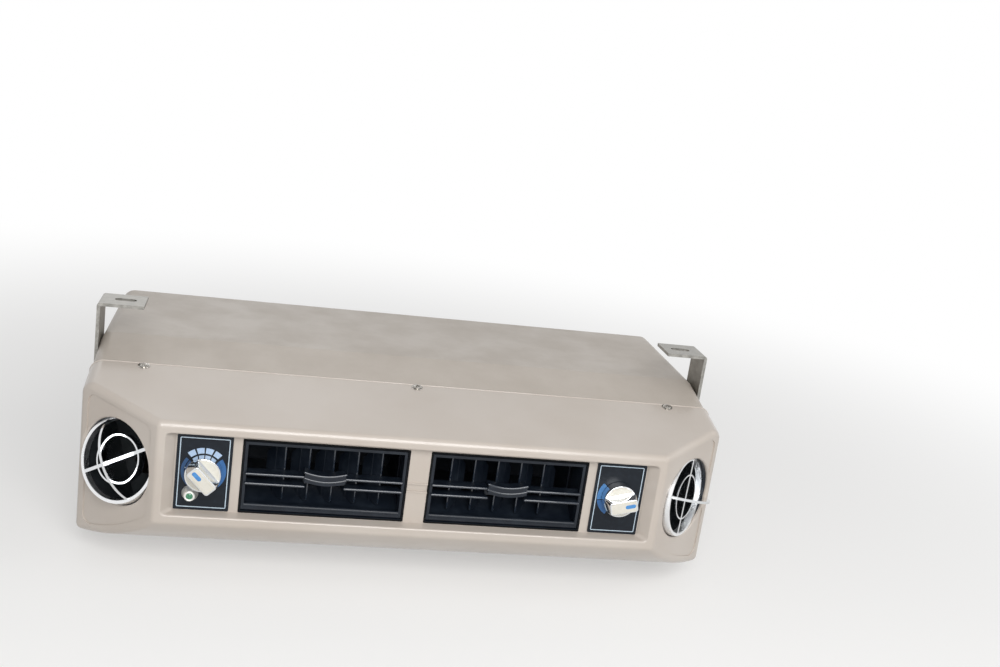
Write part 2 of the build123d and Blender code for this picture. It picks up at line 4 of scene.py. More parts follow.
import bmesh
import bpy
import numpy as np
from mathutils import Matrix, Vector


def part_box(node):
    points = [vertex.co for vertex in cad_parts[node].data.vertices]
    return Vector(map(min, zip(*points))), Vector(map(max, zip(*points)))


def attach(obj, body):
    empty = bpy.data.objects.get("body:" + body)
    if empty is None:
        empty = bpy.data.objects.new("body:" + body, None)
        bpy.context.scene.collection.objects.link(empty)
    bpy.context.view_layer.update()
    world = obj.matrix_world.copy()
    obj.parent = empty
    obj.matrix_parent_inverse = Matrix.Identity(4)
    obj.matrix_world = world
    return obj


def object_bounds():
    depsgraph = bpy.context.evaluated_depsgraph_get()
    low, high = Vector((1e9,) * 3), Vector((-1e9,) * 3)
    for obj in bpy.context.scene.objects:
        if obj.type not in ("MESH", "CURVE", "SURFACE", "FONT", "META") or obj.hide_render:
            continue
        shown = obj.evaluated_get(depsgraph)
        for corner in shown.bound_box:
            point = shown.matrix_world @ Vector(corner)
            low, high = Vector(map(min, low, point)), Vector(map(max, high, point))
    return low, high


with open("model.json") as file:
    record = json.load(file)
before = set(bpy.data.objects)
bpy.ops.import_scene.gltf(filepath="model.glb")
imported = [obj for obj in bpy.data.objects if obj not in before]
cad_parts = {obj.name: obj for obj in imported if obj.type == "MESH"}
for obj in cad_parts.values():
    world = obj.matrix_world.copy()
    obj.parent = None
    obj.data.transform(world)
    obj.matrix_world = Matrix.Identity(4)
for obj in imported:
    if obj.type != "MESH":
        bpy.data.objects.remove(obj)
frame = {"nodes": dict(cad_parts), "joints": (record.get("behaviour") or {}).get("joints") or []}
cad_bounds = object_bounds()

bl_info = {
    "name": "Under-dash air conditioner",
    "version": (1, 0, 0),
    "blender": (4, 5, 0),
    "location": "View3D > Sidebar > Cooler",
    "description": "Finishes, printed dials, fasteners and studio for the packed air-conditioning unit",
    "category": "Object",
}

MM = 0.001

# The housing's roof starts at the face's top edge and rises towards the rear at this angle, in degrees
FACE_TOP = -50 * MM
ROOF_SLOPE = 11.5
# The upright vanes' rest angle in degrees, front edges towards the unit's middle
VANE_TURN = 42.0
# Turn of each cheek away from the face, in degrees
CHEEK_ANGLE = 40.0
# Each outlet's side, and its aim upwards and towards the middle, in degrees
OUTLET_AIMS = {"left": (-1, 16.0, 7.5), "right": (1, 4.0, -7.5)}
# Turns of the bezel screws' crosses in degrees, from the left
SCREW_TWISTS = (20.0, 65.0, 40.0)
# The case screws' places: shares of the case's depth on its sides, of half its width on its back
SIDE_SCREWS = (0.14, 0.5, 0.86)
BACK_SCREWS = (-0.8, -0.27, 0.27, 0.8)
# Marks round each knob: ink, inner and outer radius in mm, start and end in degrees from +X to +Z
FAN_MARKS = (
    ("wedge", 13.3, 17.4, 113.5, 131.5), ("wedge", 13.3, 17.4, 91.0, 109.0),
    ("wedge", 13.3, 17.4, 68.5, 87.0), ("wedge", 13.3, 17.4, 46.5, 64.0),
    ("band", 12.6, 15.6, -48.0, 38.0), ("deep", 13.0, 15.4, 142.0, 230.0),
    ("line", 12.2, 13.2, 169.0, 173.5),
)
TEMP_MARKS = (("hatch", 12.6, 16.0, 139.0, 190.0), ("band", 12.6, 16.0, 192.5, 240.0))
# The photograph's viewpoint in metres, its direction to the right and the one from the object back to
# it, solved from the housing's corners and edges
CAMERA_PLACE = (-0.1208, -0.9042, 0.2456)
CAMERA_RIGHT = (0.97626, -0.16688, 0.1381)
CAMERA_BACK = (-0.19804, -0.94591, 0.25696)
# The lamps' places in metres: in front and above, to the right, and behind
KEY_PLACE = (0.05, -1.12, 0.5)
SIDE_PLACE = (1.1, -0.35, 0.75)
REAR_PLACE = (-0.4, 1.3, 0.9)
# Directions in the frame, where the unit's face looks along -Y
RIGHTWARDS, LEFTWARDS, UPWARDS = (1, 0, 0), (-1, 0, 0), (0, 0, 1)
FORWARD, BACKWARD = (0, -1, 0), (0, 1, 0)
# Points in each corner of a rounded outline
CORNER_STEPS = 7
# Edges that turn by more than this angle in degrees stay sharp
CREASE_ANGLE = 35.0


# ---------------------------------------------------------------- settings

def size(name, text, default):
    """A length property in metres."""
    return bpy.props.FloatProperty(
        name=name, description=text, default=default, min=0.0, unit="LENGTH", precision=5)


def level(name, text, default):
    """A height in metres, which may lie below where it is counted from."""
    return bpy.props.FloatProperty(
        name=name, description=text, default=default, unit="LENGTH", precision=5)


def angle(name, text, degrees):
    """An angle property, given here in degrees."""
    return bpy.props.FloatProperty(
        name=name, description=text, default=math.radians(degrees), subtype="ANGLE")


def amount(name, text, default, unit="NONE"):
    """A plain number property, or one in watts or in millimetres of a lens."""
    return bpy.props.FloatProperty(name=name, description=text, default=default, unit=unit)


def linear(code):
    """Turn an sRGB hex colour into the linear values that a shader takes."""
    value = np.array([int(code[i:i + 2], 16) for i in (1, 3, 5)]) / 255
    value = np.where(value <= 0.04045, value / 12.92, ((value + 0.055) / 1.055) ** 2.4)
    return tuple(float(v) for v in value) + (1.0,)


def colour(name, text, code):
    """A colour property from an sRGB hex colour."""
    return bpy.props.FloatVectorProperty(
        name=name, description=text, default=linear(code), subtype="COLOR", size=4, min=0.0, max=1.0)


class CoolerHousing(bpy.types.PropertyGroup):
    """Colours and small sizes of the housing."""
    enamel: colour("Enamel", "Beige gloss enamel on the bezel", "#BDB4AB")
    enamel_deep: colour("Enamel, deeper", "Slightly deeper patches of the same enamel", "#B8AEA4")
    case_enamel: colour("Case enamel", "The enamel on the sheet steel case, a little dustier", "#B7AEA4")
    dust: colour("Dust", "Fine dust that has settled on the case", "#AEA59B")
    peel: size("Orange peel", "Spacing of the faint ripple in the sprayed enamel", 1.4 * MM)
    screw_radius: size("Screw radius", "Radius of the bezel screws' washers", 4.4 * MM)
    screw_dome: size("Screw dome", "Radius of the bezel screws' domed heads", 3.256 * MM)
    screw_height: size("Screw height", "Height of the bezel screws' heads", 1.7 * MM)
    screw_slot: size("Screw slot", "Width of the arms of the bezel screws' crosses", 0.9 * MM)
    screw_slot_depth: size("Screw slot depth", "Depth of the bezel screws' crosses", 1.0 * MM)
    screw_spacing: size("Screw spacing", "From the middle bezel screw to each outer one", 201.6 * MM)
    screw_setback: size("Screw setback", "Bezel screws in front of the seam", 4.6 * MM)
    lip: size("Lip", "Radius of the rolled lip at the bezel's rear edge", 0.6 * MM)
    roof_corner: size("Roof corner", "Radius of the roof's long side edges", 10.0 * MM)
    bottom_corner: size("Bottom corner", "Radius of the bottom's long side edges", 5.0 * MM)
    case_screw_radius: size("Case screw radius", "Radius of the case screws' washers", 4.6 * MM)
    case_screw_flats: size("Case screw flats", "Width of the case screws' heads across flats", 5.5 * MM)
    case_screw_height: size("Case screw height", "Height of the case screws' heads", 2.2 * MM)
    case_screw_drop: size("Case screw drop", "Case screws below the pan's upper edge", 9.0 * MM)


class CoolerLouvres(bpy.types.PropertyGroup):
    """Colours and sizes of the black mouldings."""
    # The blue tint in this black is a painted reflection of the sky
    black: colour("Black ABS", "Satin black moulding of louvres and ducts", "#151B24")
    black_worn: colour("Black ABS, handled", "Where dust and fingers have dulled the black", "#222932")
    # Lighter, bluer black for the louvres' glossy edges: painted highlight
    edge_highlight: colour("Black ABS, polished", "Edges that fingers have polished", "#1F2732")
    grain: size("Moulding grain", "Spacing of the fine grain of the moulding tool", 0.45 * MM)
    blade_front: size("Blade front", "From the drum's axis to the blades' front faces", 7.0 * MM)
    blade_edge: size("Blade edge", "Radius of the blades' front edges", 1.05 * MM)
    upper_blade: level("Upper blade", "Height of the upper blade above the drum's axis", 2.05 * MM)
    lower_blade: level("Lower blade", "Height of the lower blade above the drum's axis", -5.25 * MM)
    drum_end: size("Drum end", "From the blades' outer ends to the tips of the drum's pins", 3.6 * MM)
    tab_width: size("Tab width", "Width of the thumb tab", 29.0 * MM)
    tab_sag: size("Tab sag", "Dip of the tab's ridges in the middle", 2.4 * MM)
    tab_front: size("Tab front", "From the drum's axis to the tab's front face", 9.2 * MM)
    upper_ridge: level("Upper ridge", "From the drum's axis up to the upper ridge's ends", 6.45 * MM)
    upper_ridge_radius: size("Upper ridge radius", "Radius of the tab's upper ridge", 0.9 * MM)
    lower_ridge: level("Lower ridge", "From the drum's axis up to the lower ridge's ends", 2.15 * MM)
    lower_ridge_radius: size("Lower ridge radius", "Radius of the tab's lower ridge", 0.8 * MM)
    vane_reach: size("Vane reach", "From a vane's pins to its front edge", 9.0 * MM)
    vane_edge: size("Vane edge", "Radius of the vanes' front edges", 0.8 * MM)
    vane_corner: size("Vane corner", "Radius of the corners of the vanes' front edges", 2.0 * MM)
    vane_edge_height: size("Vane edge height", "Half the height of the vanes' straight edges", 19.8 * MM)
    window_width: size("Window width", "Width of each louvre's window in the bezel", 118.0 * MM)
    window_height: size("Window height", "Height of each louvre's window in the bezel", 56.0 * MM)
    # A thin near-black band round each louvre frame: painted shadow of the gap between the frame and the
    # bezel
    shadow_gap: size("Gasket", "Width of the foam rubber seen round each louvre frame", 1.3 * MM)
    shadow_gap_corner: size("Gasket corner", "Corner radius of the foam rubber", 0.8 * MM)
    shadow_gap_thick: size("Gasket thickness", "Thickness of the foam rubber", 0.25 * MM)
    shadow_gap_sunk: size("Gasket sunk", "Foam rubber's back behind the frame's front", 0.05 * MM)
    # The air box's closed black back is partly painted shade for the dark depths of each duct
    plenum_depth: size("Air box depth", "Depth of the air box behind each duct", 60.0 * MM)
    plenum_skin: size("Air box skin", "Thickness of the air box's back", 2.0 * MM)
    plenum_corner: size("Air box corner", "Corner radius of the air box", 4.0 * MM)
    plenum_lap: size("Air box lap", "How far the air box laps over the duct", 1.0 * MM)


class CoolerOutlets(bpy.types.PropertyGroup):
    """Colours and sizes of the round outlets."""
    chrome: colour("Chrome", "Bright chromium plating", "#DDDFE1")
    smudge: size("Smudge size", "Spacing of the faint finger marks on the chrome", 9.0 * MM)
    ball_radius: size("Ball radius", "Outer radius of each outlet's ball", 32.0 * MM)
    ring_skin: size("Ring skin", "Wall of the bright ring", 1.8 * MM)
    ring_front: size("Ring front", "From the ball's centre to the ring's rim", 7.5 * MM)
    ring_rear: size("Ring rear", "From the ball's centre back to the ring's rear edge", 14.0 * MM)
    mouth_depth: size("Mouth depth", "Depth of the ring's flared mouth", 4.5 * MM)
    mouth_flare: size("Mouth flare", "How much the mouth narrows over its depth", 1.3 * MM)
    liner_skin: size("Liner skin", "Wall of the mouth and of the black liner behind it", 0.4 * MM)
    liner_gap: size("Liner gap", "From the mouth and liner to the ring that they line", 0.1 * MM)


class CoolerControls(bpy.types.PropertyGroup):
    """Colours and sizes of the control plates, knobs and lamp."""
    plate: colour("Plate", "Black printed face of the control plates", "#121820")
    line: colour("Line ink", "Pale ink of the border and the ticks", "#B9CAD8")
    wedge: colour("Wedge ink", "Light blue ink of the fan's speed wedges", "#A3B9D4")
    band: colour("Band ink", "Strong blue ink of the rings", "#2A5C92")
    band_deep: colour("Deep band ink", "Darker blue ink of the rings' far side", "#22466F")
    hatch: colour("Hatch ink", "Lighter blue of the hatched ring", "#4E82B4")
    knob: colour("Knob", "Cream moulding of the knobs", "#D6D2C7")
    inlay: colour("Inlay", "Blue pointer inlay on each knob", "#4A8FCA")
    lens: colour("Lens", "Green pilot lens", "#4DAA7C")
    border_inset: size("Border inset", "From the plate's edge to the middle of its border", 2.3 * MM)
    border_corner: size("Border corner", "Corner radius of the border line", 0.6 * MM)
    border_line: size("Border line", "Width of the border line", 0.6 * MM)
    ink: size("Ink", "Thickness of the printed ink", 0.05 * MM)
    fan_pointer: angle("Fan pointer", "Where the fan knob points, from +X to +Z", 134.0)
    temp_pointer: angle("Temperature pointer", "Where the temperature knob points, from +X to +Z", 14.0)
    inlay_length: size("Inlay length", "Length of the pointer inlay", 8.0 * MM)
    inlay_width: size("Inlay width", "Width of the pointer inlay", 3.0 * MM)
    inlay_offset: size("Inlay offset", "From the knob's centre to the inlay's centre", 5.0 * MM)
    inlay_proud: size("Inlay proud", "Height of the inlay above the grip bar", 0.08 * MM)
    face_length: size("Face length", "Length of the cream face on the grip bar", 18.8 * MM)
    face_width: size("Face width", "Width of the cream face on the grip bar", 8.4 * MM)
    face_corner: size("Face corner", "Corner radius of the cream face", 1.7 * MM)
    face_thick: size("Face thickness", "Thickness of the cream faces and the inlay", 0.3 * MM)
    face_edge: size("Face edge", "Radius of the cream faces' rims", 0.1 * MM)
    face_proud: size("Face proud", "Height of the cream face above the grip bar", 0.05 * MM)
    disc_radius: size("Disc radius", "Radius of the cream faces beside the bar", 11.45 * MM)
    disc_chord: size("Disc chord", "From the knob's middle to the straight edge of those faces", 5.6 * MM)
    disc_height: size("Disc height", "Height of the knob's disc above its back", 8.0 * MM)
    leaf_proud: size("Leaf proud", "Height of the cream faces above the disc", 0.1 * MM)
    rim_radius: size("Rim radius", "Radius of the middle of the lamp collar's rolled rim", 2.9 * MM)
    rim_roll: size("Rim roll", "Radius of the roll itself", 0.6 * MM)


class CoolerStage(bpy.types.PropertyGroup):
    """Camera, light and floor."""
    floor: colour("Floor", "Plain pale floor", "#F4F3F1")
    sky: colour("Sky", "Soft light from all round", "#FFFFFF")
    sky_strength: amount("Sky strength", "Strength of the light from all round", 0.34)
    key_power: amount("Key light", "Power of the large light in front and above", 13.0, "POWER")
    side_power: amount("Side light", "Power of the light from the right", 2.5, "POWER")
    rear_power: amount("Rear light", "Power of the light behind", 1.5, "POWER")
    key_size: size("Key light's size", "Side of the square key light", 0.8)
    side_size: size("Side light's size", "Side of the square side light", 0.8)
    rear_size: size("Rear light's size", "Side of the square rear light", 1.0)
    aim_forward: size("Lights' aim", "Where the lights look, in front of the unit's middle", 80.0 * MM)
    floor_reach: size("Floor's reach", "Half the side of the floor", 30.0)
    floor_lumps: size("Floor's unevenness", "Spacing of the floor's faint patches", 0.4)
    floor_clear: size("Floor's clear radius", "From here the floor fades into the background", 0.35)
    floor_white: size("Floor's white radius", "From here it is as white as the background", 1.2)
    floor_glow: amount("Floor's glow", "Share of the background's white below the unit", 0.4)
    focal: amount("Focal length", "Camera's focal length on a 36 mm sensor", 42.57, "CAMERA")


# ---------------------------------------------------------------- surfaces

def grid_faces(rows, columns, wrap_rows=False, wrap_columns=False):
    """Quads between neighbouring points of a grid of rows by columns, wrapped round where asked."""
    i, j = np.meshgrid(np.arange(rows if wrap_rows else rows - 1),
                       np.arange(columns if wrap_columns else columns - 1), indexing="ij")
    nexti, nextj = (i + 1) % rows, (j + 1) % columns
    corners = [i * columns + j, i * columns + nextj, nexti * columns + nextj, nexti * columns + j]
    return np.stack(corners, axis=-1).reshape(-1, 4)


def surface(points, wrap_rows=False, wrap_columns=False):
    """A grid of points, rows by columns by 3, with its faces."""
    rows, columns = points.shape[:2]
    return points.reshape(-1, 3), grid_faces(rows, columns, wrap_rows, wrap_columns)


def joined(surfaces):
    """One set of points and faces out of several."""
    starts = np.cumsum([0] + [len(points) for points, _ in surfaces[:-1]])
    return (np.concatenate([points for points, _ in surfaces]),
            np.concatenate([faces + start for (_, faces), start in zip(surfaces, starts)]))


def turned(profile, segments=64, closed=False):
    """Surface of revolution: a point (radius, height) of the profile goes round the local Z axis as
    (radius cos t, radius sin t, height), t from 0 to a full turn. An outward profile runs upwards,
    and a closed one goes up on its outside and down on its inside."""
    profile = np.asarray(profile, float)
    t = np.linspace(0, 2 * np.pi, segments, endpoint=False)
    points = np.stack([profile[:, :1] * np.cos(t), profile[:, :1] * np.sin(t),
                       np.repeat(profile[:, 1:], segments, axis=1)], axis=-1)
    return surface(points, wrap_rows=closed, wrap_columns=True)


def rounded_outline(width, height, radius):
    """Corner centres and outward directions round a rounded rectangle, anticlockwise: a point at
    distance d outside the corner centres is centre + d * direction, and the sides join the corners."""
    t = (np.arange(4)[:, None] * 90 + np.linspace(0, 90, CORNER_STEPS)[None, :]).ravel() * np.pi / 180
    corner = np.repeat([[1, 1], [-1, 1], [-1, -1], [1, -1]], CORNER_STEPS, axis=0)
    centres = corner * [width / 2 - radius, height / 2 - radius]
    return centres, np.stack([np.cos(t), np.sin(t)], axis=-1)


def outline_band(width, height, radius, line, thick):
    """A flat line carried round a rounded rectangle: its profile is a box, line wide and thick high."""
    centres, directions = rounded_outline(width, height, radius)
    across = np.array([-0.5, -0.5, 0.5, 0.5]) * line
    up = np.array([0, 1, 1, 0]) * thick
    flat = centres[:, None, :] + directions[:, None, :] * (radius + across[None, :, None])
    points = np.concatenate([flat, np.broadcast_to(up[None, :, None], flat.shape[:2] + (1,))], axis=-1)
    return surface(points, wrap_rows=True, wrap_columns=True)


def arc_band(inner, outer, start, end, thick, steps=24):
    """A flat arc: a box profile between two radii, carried from one angle to the other in degrees,
    and drawn together to the profile's middle at both ends."""
    t = np.radians(np.concatenate([[start], np.linspace(start, end, steps), [end]]))
    share = np.concatenate([[0], np.ones(steps), [0]])[:, None]
    middle = (inner + outer) / 2
    radius = middle + (np.array([inner, inner, outer, outer]) - middle) * share
    height = thick / 2 + (np.array([0, 1, 1, 0]) - 0.5) * thick * share
    points = np.stack([radius * np.cos(t)[:, None], radius * np.sin(t)[:, None], height], axis=-1)
    return surface(points, wrap_columns=True)


def layered(outline, layers):
    """Rings of one closed outline about the local Z axis: a point of the outline times the layer's
    share, at the layer's height. A share of 0 closes an end."""
    share, height = np.array(layers, float).T
    flat = np.asarray(outline, float)[None] * share[:, None, None]
    up = np.broadcast_to(height[:, None, None], flat.shape[:2] + (1,))
    return surface(np.concatenate([flat, up], axis=-1), wrap_columns=True)


def plaque(outline, thick, edge):
    """A flat piece with a rounded rim: its outline rises to the thickness, rolls over by a quarter
    circle of the edge's radius, and shrinks to its middle."""
    reach = np.linalg.norm(outline, axis=1).min()
    roll = np.linspace(0, np.pi / 2, 6)
    rim = [(1 - edge / reach * (1 - math.cos(a)), thick - edge + edge * math.sin(a)) for a in roll]
    return layered(outline, [(0, 0), (0.5, 0), (1, 0)] + rim + [(0.6, thick), (0.3, thick), (0, thick)])


def pillow(width, height, radius, thick, edge):
    """A rounded rectangle as a plaque."""
    centres, directions = rounded_outline(width, height, radius)
    return plaque(centres + directions * radius, thick, edge)


def disc_segment(radius, chord_height, steps=40):
    """Outline of the part of a disc above a chord, about a point in its middle, and that point's
    height: the arc runs from the chord's right end to its left end, and the chord closes it."""
    start = math.asin(chord_height / radius)
    t = np.linspace(start, np.pi - start, steps)
    arc = np.stack([radius * np.cos(t), radius * np.sin(t)], axis=-1)
    chord = np.linspace(arc[-1], arc[0], 12)[1:-1]
    middle = 0.45 * radius + 0.55 * chord_height
    return np.concatenate([arc, chord]) - [0, middle], middle


def bead(path, radius, around=12):
    """A round bar with half-round ends: a circle carried along a path that doesn't run along Y, its
    radius r sin a over the ends, where the path goes on by r cos a, a from 0 to a quarter turn."""
    path = np.asarray(path, float)
    along = np.gradient(path, axis=0)
    along = along / np.linalg.norm(along, axis=1, keepdims=True)
    a = np.linspace(0, np.pi / 2, 6)[:-1, None]
    centres = np.concatenate([path[:1] - along[:1] * radius * np.cos(a), path,
                              path[-1:] + along[-1:] * radius * np.cos(a[::-1])])
    size_there = radius * np.concatenate([np.sin(a), np.ones((len(path), 1)), np.sin(a[::-1])])
    along = np.concatenate([np.repeat(along[:1], len(a), axis=0), along,
                            np.repeat(along[-1:], len(a), axis=0)])
    side = np.cross(along, [0.0, 1.0, 0.0])
    side = side / np.linalg.norm(side, axis=1, keepdims=True)
    t = np.linspace(0, 2 * np.pi, around, endpoint=False)
    ring = side[:, None, :] * np.cos(t)[:, None] + np.cross(along, side)[:, None, :] * np.sin(t)[:, None]
    return surface(centres[:, None, :] + ring * size_there[:, :, None], wrap_columns=True)


def screw_head(radius, height, cross, depth, washer):
    """A domed screw head with a cross recess, on a washer of its own radius: the height z(r) is a dome
    over the head's radius, less the recess where a point lies within half an arm of either axis. The
    recess is shallower towards its arms' ends."""
    r = np.concatenate([np.linspace(0, 0.62, 26), np.linspace(0.66, 1.0, 9)])[::-1] * radius
    t = np.linspace(0, 2 * np.pi, 96, endpoint=False)
    x, y = r[:, None] * np.cos(t), r[:, None] * np.sin(t)
    dome = height * np.sqrt(np.clip(1 - 0.72 * (r / radius) ** 2, 0, 1))[:, None] + 0 * x
    arm = np.minimum(np.abs(x), np.abs(y))
    reach = np.maximum(np.abs(x), np.abs(y))
    wall = np.clip((0.5 * cross - arm) / (0.18 * cross), 0, 1)
    wall = wall * np.clip((2.3 * cross - reach) / (0.25 * cross), 0, 1)
    slope = np.clip(1.15 - 0.4 * reach / cross, 0.3, 1)
    head = np.stack([x, y, dome - depth * wall * slope], axis=-1)
    rim = np.stack([radius * np.cos(t), radius * np.sin(t), 0 * t], axis=-1)
    head = surface(np.concatenate([0 * rim[None], rim[None], head]), wrap_columns=True)
    profile = [(0, 0), (washer, 0), (washer, 0.16 * height), (0.97 * washer, 0.24 * height),
               (0.6 * radius, 0.3 * height), (0, 0.3 * height)]
    return joined([head, turned(profile, 96)])


def hex_head(across, height, washer):
    """A hexagon head on a round washer: the outline's radius is across / 2 divided by the cosine of the
    angle from the nearest flat. Each row is a share of that radius, a share of the height, and the
    most that the radius may be as a share of across / 2, which rounds the top down at the corners."""
    t = np.linspace(0, 2 * np.pi, 96, endpoint=False)
    off = (t + np.pi / 6) % (np.pi / 3) - np.pi / 6
    outline = across / 2 / np.cos(off)
    rows = [(0, 0.2, 0), (1, 0.2, 2), (1, 0.86, 2), (0.93, 0.97, 1.03), (0.86, 1.0, 0.94),
            (0.5, 1.0, 0.55), (0.44, 0.93, 0.48), (0, 0.9, 0)]
    share, up, limit = np.array(rows).T
    radius = np.minimum(outline[None] * share[:, None], across / 2 * limit[:, None])
    up = np.repeat(up[:, None] * height, 96, axis=1)
    points = np.stack([radius * np.cos(t), radius * np.sin(t), up], axis=-1)
    profile = [(0, 0), (washer, 0), (washer, 0.1 * height), (0.95 * washer, 0.2 * height),
               (0.3 * across, 0.22 * height), (0, 0.22 * height)]
    return joined([surface(points, wrap_columns=True), turned(profile, 96)])


def placed(shape, origin, x_axis, z_axis):
    """Put a local shape at a place: local X and Z along the given directions."""
    points, faces = shape
    z = np.asarray(z_axis, float) / np.linalg.norm(z_axis)
    x = np.asarray(x_axis, float) - np.dot(x_axis, z) * z
    x = x / np.linalg.norm(x)
    return points @ np.stack([x, np.cross(z, x), z]) + np.asarray(origin, float), faces


def piece(name, shape, material, body):
    """One mesh object from points and faces, with its doubles merged, smooth but for its sharp edges. It
    rides on a body and has one material slot."""
    points, faces = shape
    mesh = bpy.data.meshes.new(name)
    mesh.from_pydata(points, [], faces)
    work = bmesh.new()
    work.from_mesh(mesh)
    bmesh.ops.remove_doubles(work, verts=work.verts, dist=1e-7)
    work.to_mesh(mesh)
    work.free()
    mesh.shade_smooth()
    mesh.set_sharp_from_angle(angle=math.radians(CREASE_ANGLE))
    mesh.materials.append(material)
    thing = bpy.data.objects.new(name, mesh)
    bpy.context.scene.collection.objects.link(thing)
    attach(thing, body)


# ---------------------------------------------------------------- finishes

NOISE, WAVE, MAPPING = "ShaderNodeTexNoise", "ShaderNodeTexWave", "ShaderNodeMapping"
# Each pattern's Scale times the distance between its lumps or stripes
SCALE_TIMES_SPACING = {NOISE: 1.0, WAVE: math.pi / 10}


def add(tree, kind, inputs=None, **settings):
    """Add a node, set its properties, and set or link each of its sockets."""
    node = tree.nodes.new(kind)
    for name, value in settings.items():
        setattr(node, name, value)
    for name, value in (inputs or {}).items():
        if isinstance(value, bpy.types.NodeSocket):
            tree.links.new(value, node.inputs[name])
        else:
            node.inputs[name].default_value = value
    return node


def finish(name, shader, patterns=(), tones=(), gloss=None, relief=None):
    """A material whose patterns read Object coordinates.

    shader: values of the shader's own sockets.
    patterns: rows of label, kind of node, spacing, inputs and settings; a Vector names an earlier row.
    tones: the first colour, then layers over it, each a pattern and a colour.
    gloss: a pattern and the roughness at its low and its high side.
    relief: a pattern, and the bump's distance and strength.
    A layer may go on with how much of it shows at the pattern's low and high side, and where they lie."""
    material = bpy.data.materials.new(name)
    material.use_nodes = True
    tree = material.node_tree
    tree.nodes.clear()
    body = add(tree, "ShaderNodeBsdfPrincipled", shader)
    add(tree, "ShaderNodeOutputMaterial", {"Surface": body.outputs["BSDF"]})
    made = {"place": add(tree, "ShaderNodeTexCoord").outputs["Object"]}
    for label, kind, spacing, inputs, *settings in patterns:
        sockets = {**inputs, "Vector": made[inputs.get("Vector", "place")]}
        if spacing:
            sockets["Scale"] = SCALE_TIMES_SPACING[kind] / spacing
        outputs = add(tree, kind, sockets, **dict(*settings)).outputs
        made[label] = outputs["Fac" if "Fac" in outputs.keys() else 0]

    def stretched(label, low=0.0, high=1.0, start=0.35, end=0.65):
        """A pattern's part between start and end, stretched to run from low to high."""
        return add(tree, "ShaderNodeMapRange", {"Value": made[label], "From Min": start, "From Max": end,
                                                "To Min": low, "To Max": high}).outputs["Result"]

    if tones:
        paint = tuple(tones[0])
        for label, over, *share in tones[1:]:
            mixed = {"Factor": stretched(label, *share), 6: paint, 7: tuple(over)}
            paint = add(tree, "ShaderNodeMix", mixed, data_type="RGBA").outputs[2]
        tree.links.new(paint, body.inputs["Base Color"])
    if gloss:
        tree.links.new(stretched(*gloss), body.inputs["Roughness"])
    if relief:
        label, distance, strength = relief
        bump = {"Height": made[label], "Distance": distance, "Strength": strength}
        tree.links.new(add(tree, "ShaderNodeBump", bump).outputs["Normal"], body.inputs["Normal"])
    return material


def enamelled_moulding(housing):
    """Sprayed two-pack enamel on an ABS moulding: an even beige gloss, faint orange peel, and slightly
    duller patches where hands and dust have been."""
    return finish(
        "enamelled_moulding", {"IOR": 1.5, "Coat Weight": 0.45, "Coat Roughness": 0.14},
        patterns=[("patches", NOISE, 55 * MM, {"Detail": 3.0}), ("handled", NOISE, 17 * MM, {}),
                  ("peel", NOISE, housing.peel, {"Detail": 1.0})],
        tones=[housing.enamel, ("patches", housing.enamel_deep)],
        gloss=("handled", 0.29, 0.35),
        relief=("peel", 0.02 * MM, 0.3))


def enamelled_steel(housing):
    """The same enamel on folded sheet steel: a little darker and duller, with settled dust in soft
    patches and specks, and a coarser spray texture."""
    return finish(
        "enamelled_steel", {"IOR": 1.5, "Coat Weight": 0.15, "Coat Roughness": 0.25},
        patterns=[("dusty", NOISE, 38 * MM, {"Detail": 4.0, "Roughness": 0.6}),
                  ("specks", NOISE, 2.2 * MM, {}), ("spray", NOISE, 1.6 * housing.peel, {})],
        tones=[housing.case_enamel, ("dusty", housing.dust, 0, 0.6),
               ("specks", housing.dust, 0, 0.25, 0.55, 0.8)],
        gloss=("dusty", 0.38, 0.55),
        relief=("spray", 0.03 * MM, 0.7))


def black_abs(louvres):
    """ABS from a finely spark-eroded tool: satin black with a slight blue tint, which is a painted
    reflection of the sky, and greyer where dust and fingers have dulled it. The grain is drawn at
    0.45 mm so that it still shows."""
    return finish(
        "black_abs", {"IOR": 1.54, "Specular IOR Level": 0.3},
        patterns=[("handled", NOISE, 14 * MM, {"Detail": 5.0, "Roughness": 0.62}),
                  ("grain", NOISE, louvres.grain, {"Detail": 1.0})],
        tones=[louvres.black, ("handled", louvres.black_worn, 0, 1, 0.45, 0.75)],
        gloss=("handled", 0.30, 0.46),
        relief=("grain", 0.012 * MM, 0.7))


def glossy_edge_highlight_abs(louvres):
    """The same ABS on the louvres' edges: smooth and glossy so that they catch the light, and a little
    lighter and bluer than the black as a painted highlight.
    """
    return finish(
        "glossy_edge_highlight_abs", {"IOR": 1.54, "Coat Weight": 0.6, "Coat Roughness": 0.1,
                         "Base Color": tuple(louvres.edge_highlight)},
        patterns=[("handled", NOISE, 9 * MM, {"Detail": 3.0})],
        gloss=("handled", 0.14, 0.26))


def painted_gap_shadow():
    """Near-black and matt, with fine pits: painted shadow of the gap round each louvre frame."""
    return finish(
        "painted_gap_shadow", {"Roughness": 0.9, "Specular IOR Level": 0.2},
        patterns=[("pits", NOISE, 0.5 * MM, {})],
        tones=[linear("#050506"), ("pits", linear("#101113"))],
        relief=("pits", 0.05 * MM, 0.8))


def chrome_plate(outlets):
    """Decorative chromium plating on a moulding: a near mirror with the faintest finger marks and the
    slight waviness of the plastic under it."""
    return finish(
        "chrome_plate", {"Metallic": 1.0, "Base Color": tuple(outlets.chrome)},
        patterns=[("smudges", NOISE, outlets.smudge, {"Detail": 4.0}),
                  ("waves", NOISE, 6 * MM, {"Detail": 1.0})],
        gloss=("smudges", 0.04, 0.13),
        relief=("waves", 0.02 * MM, 0.5))


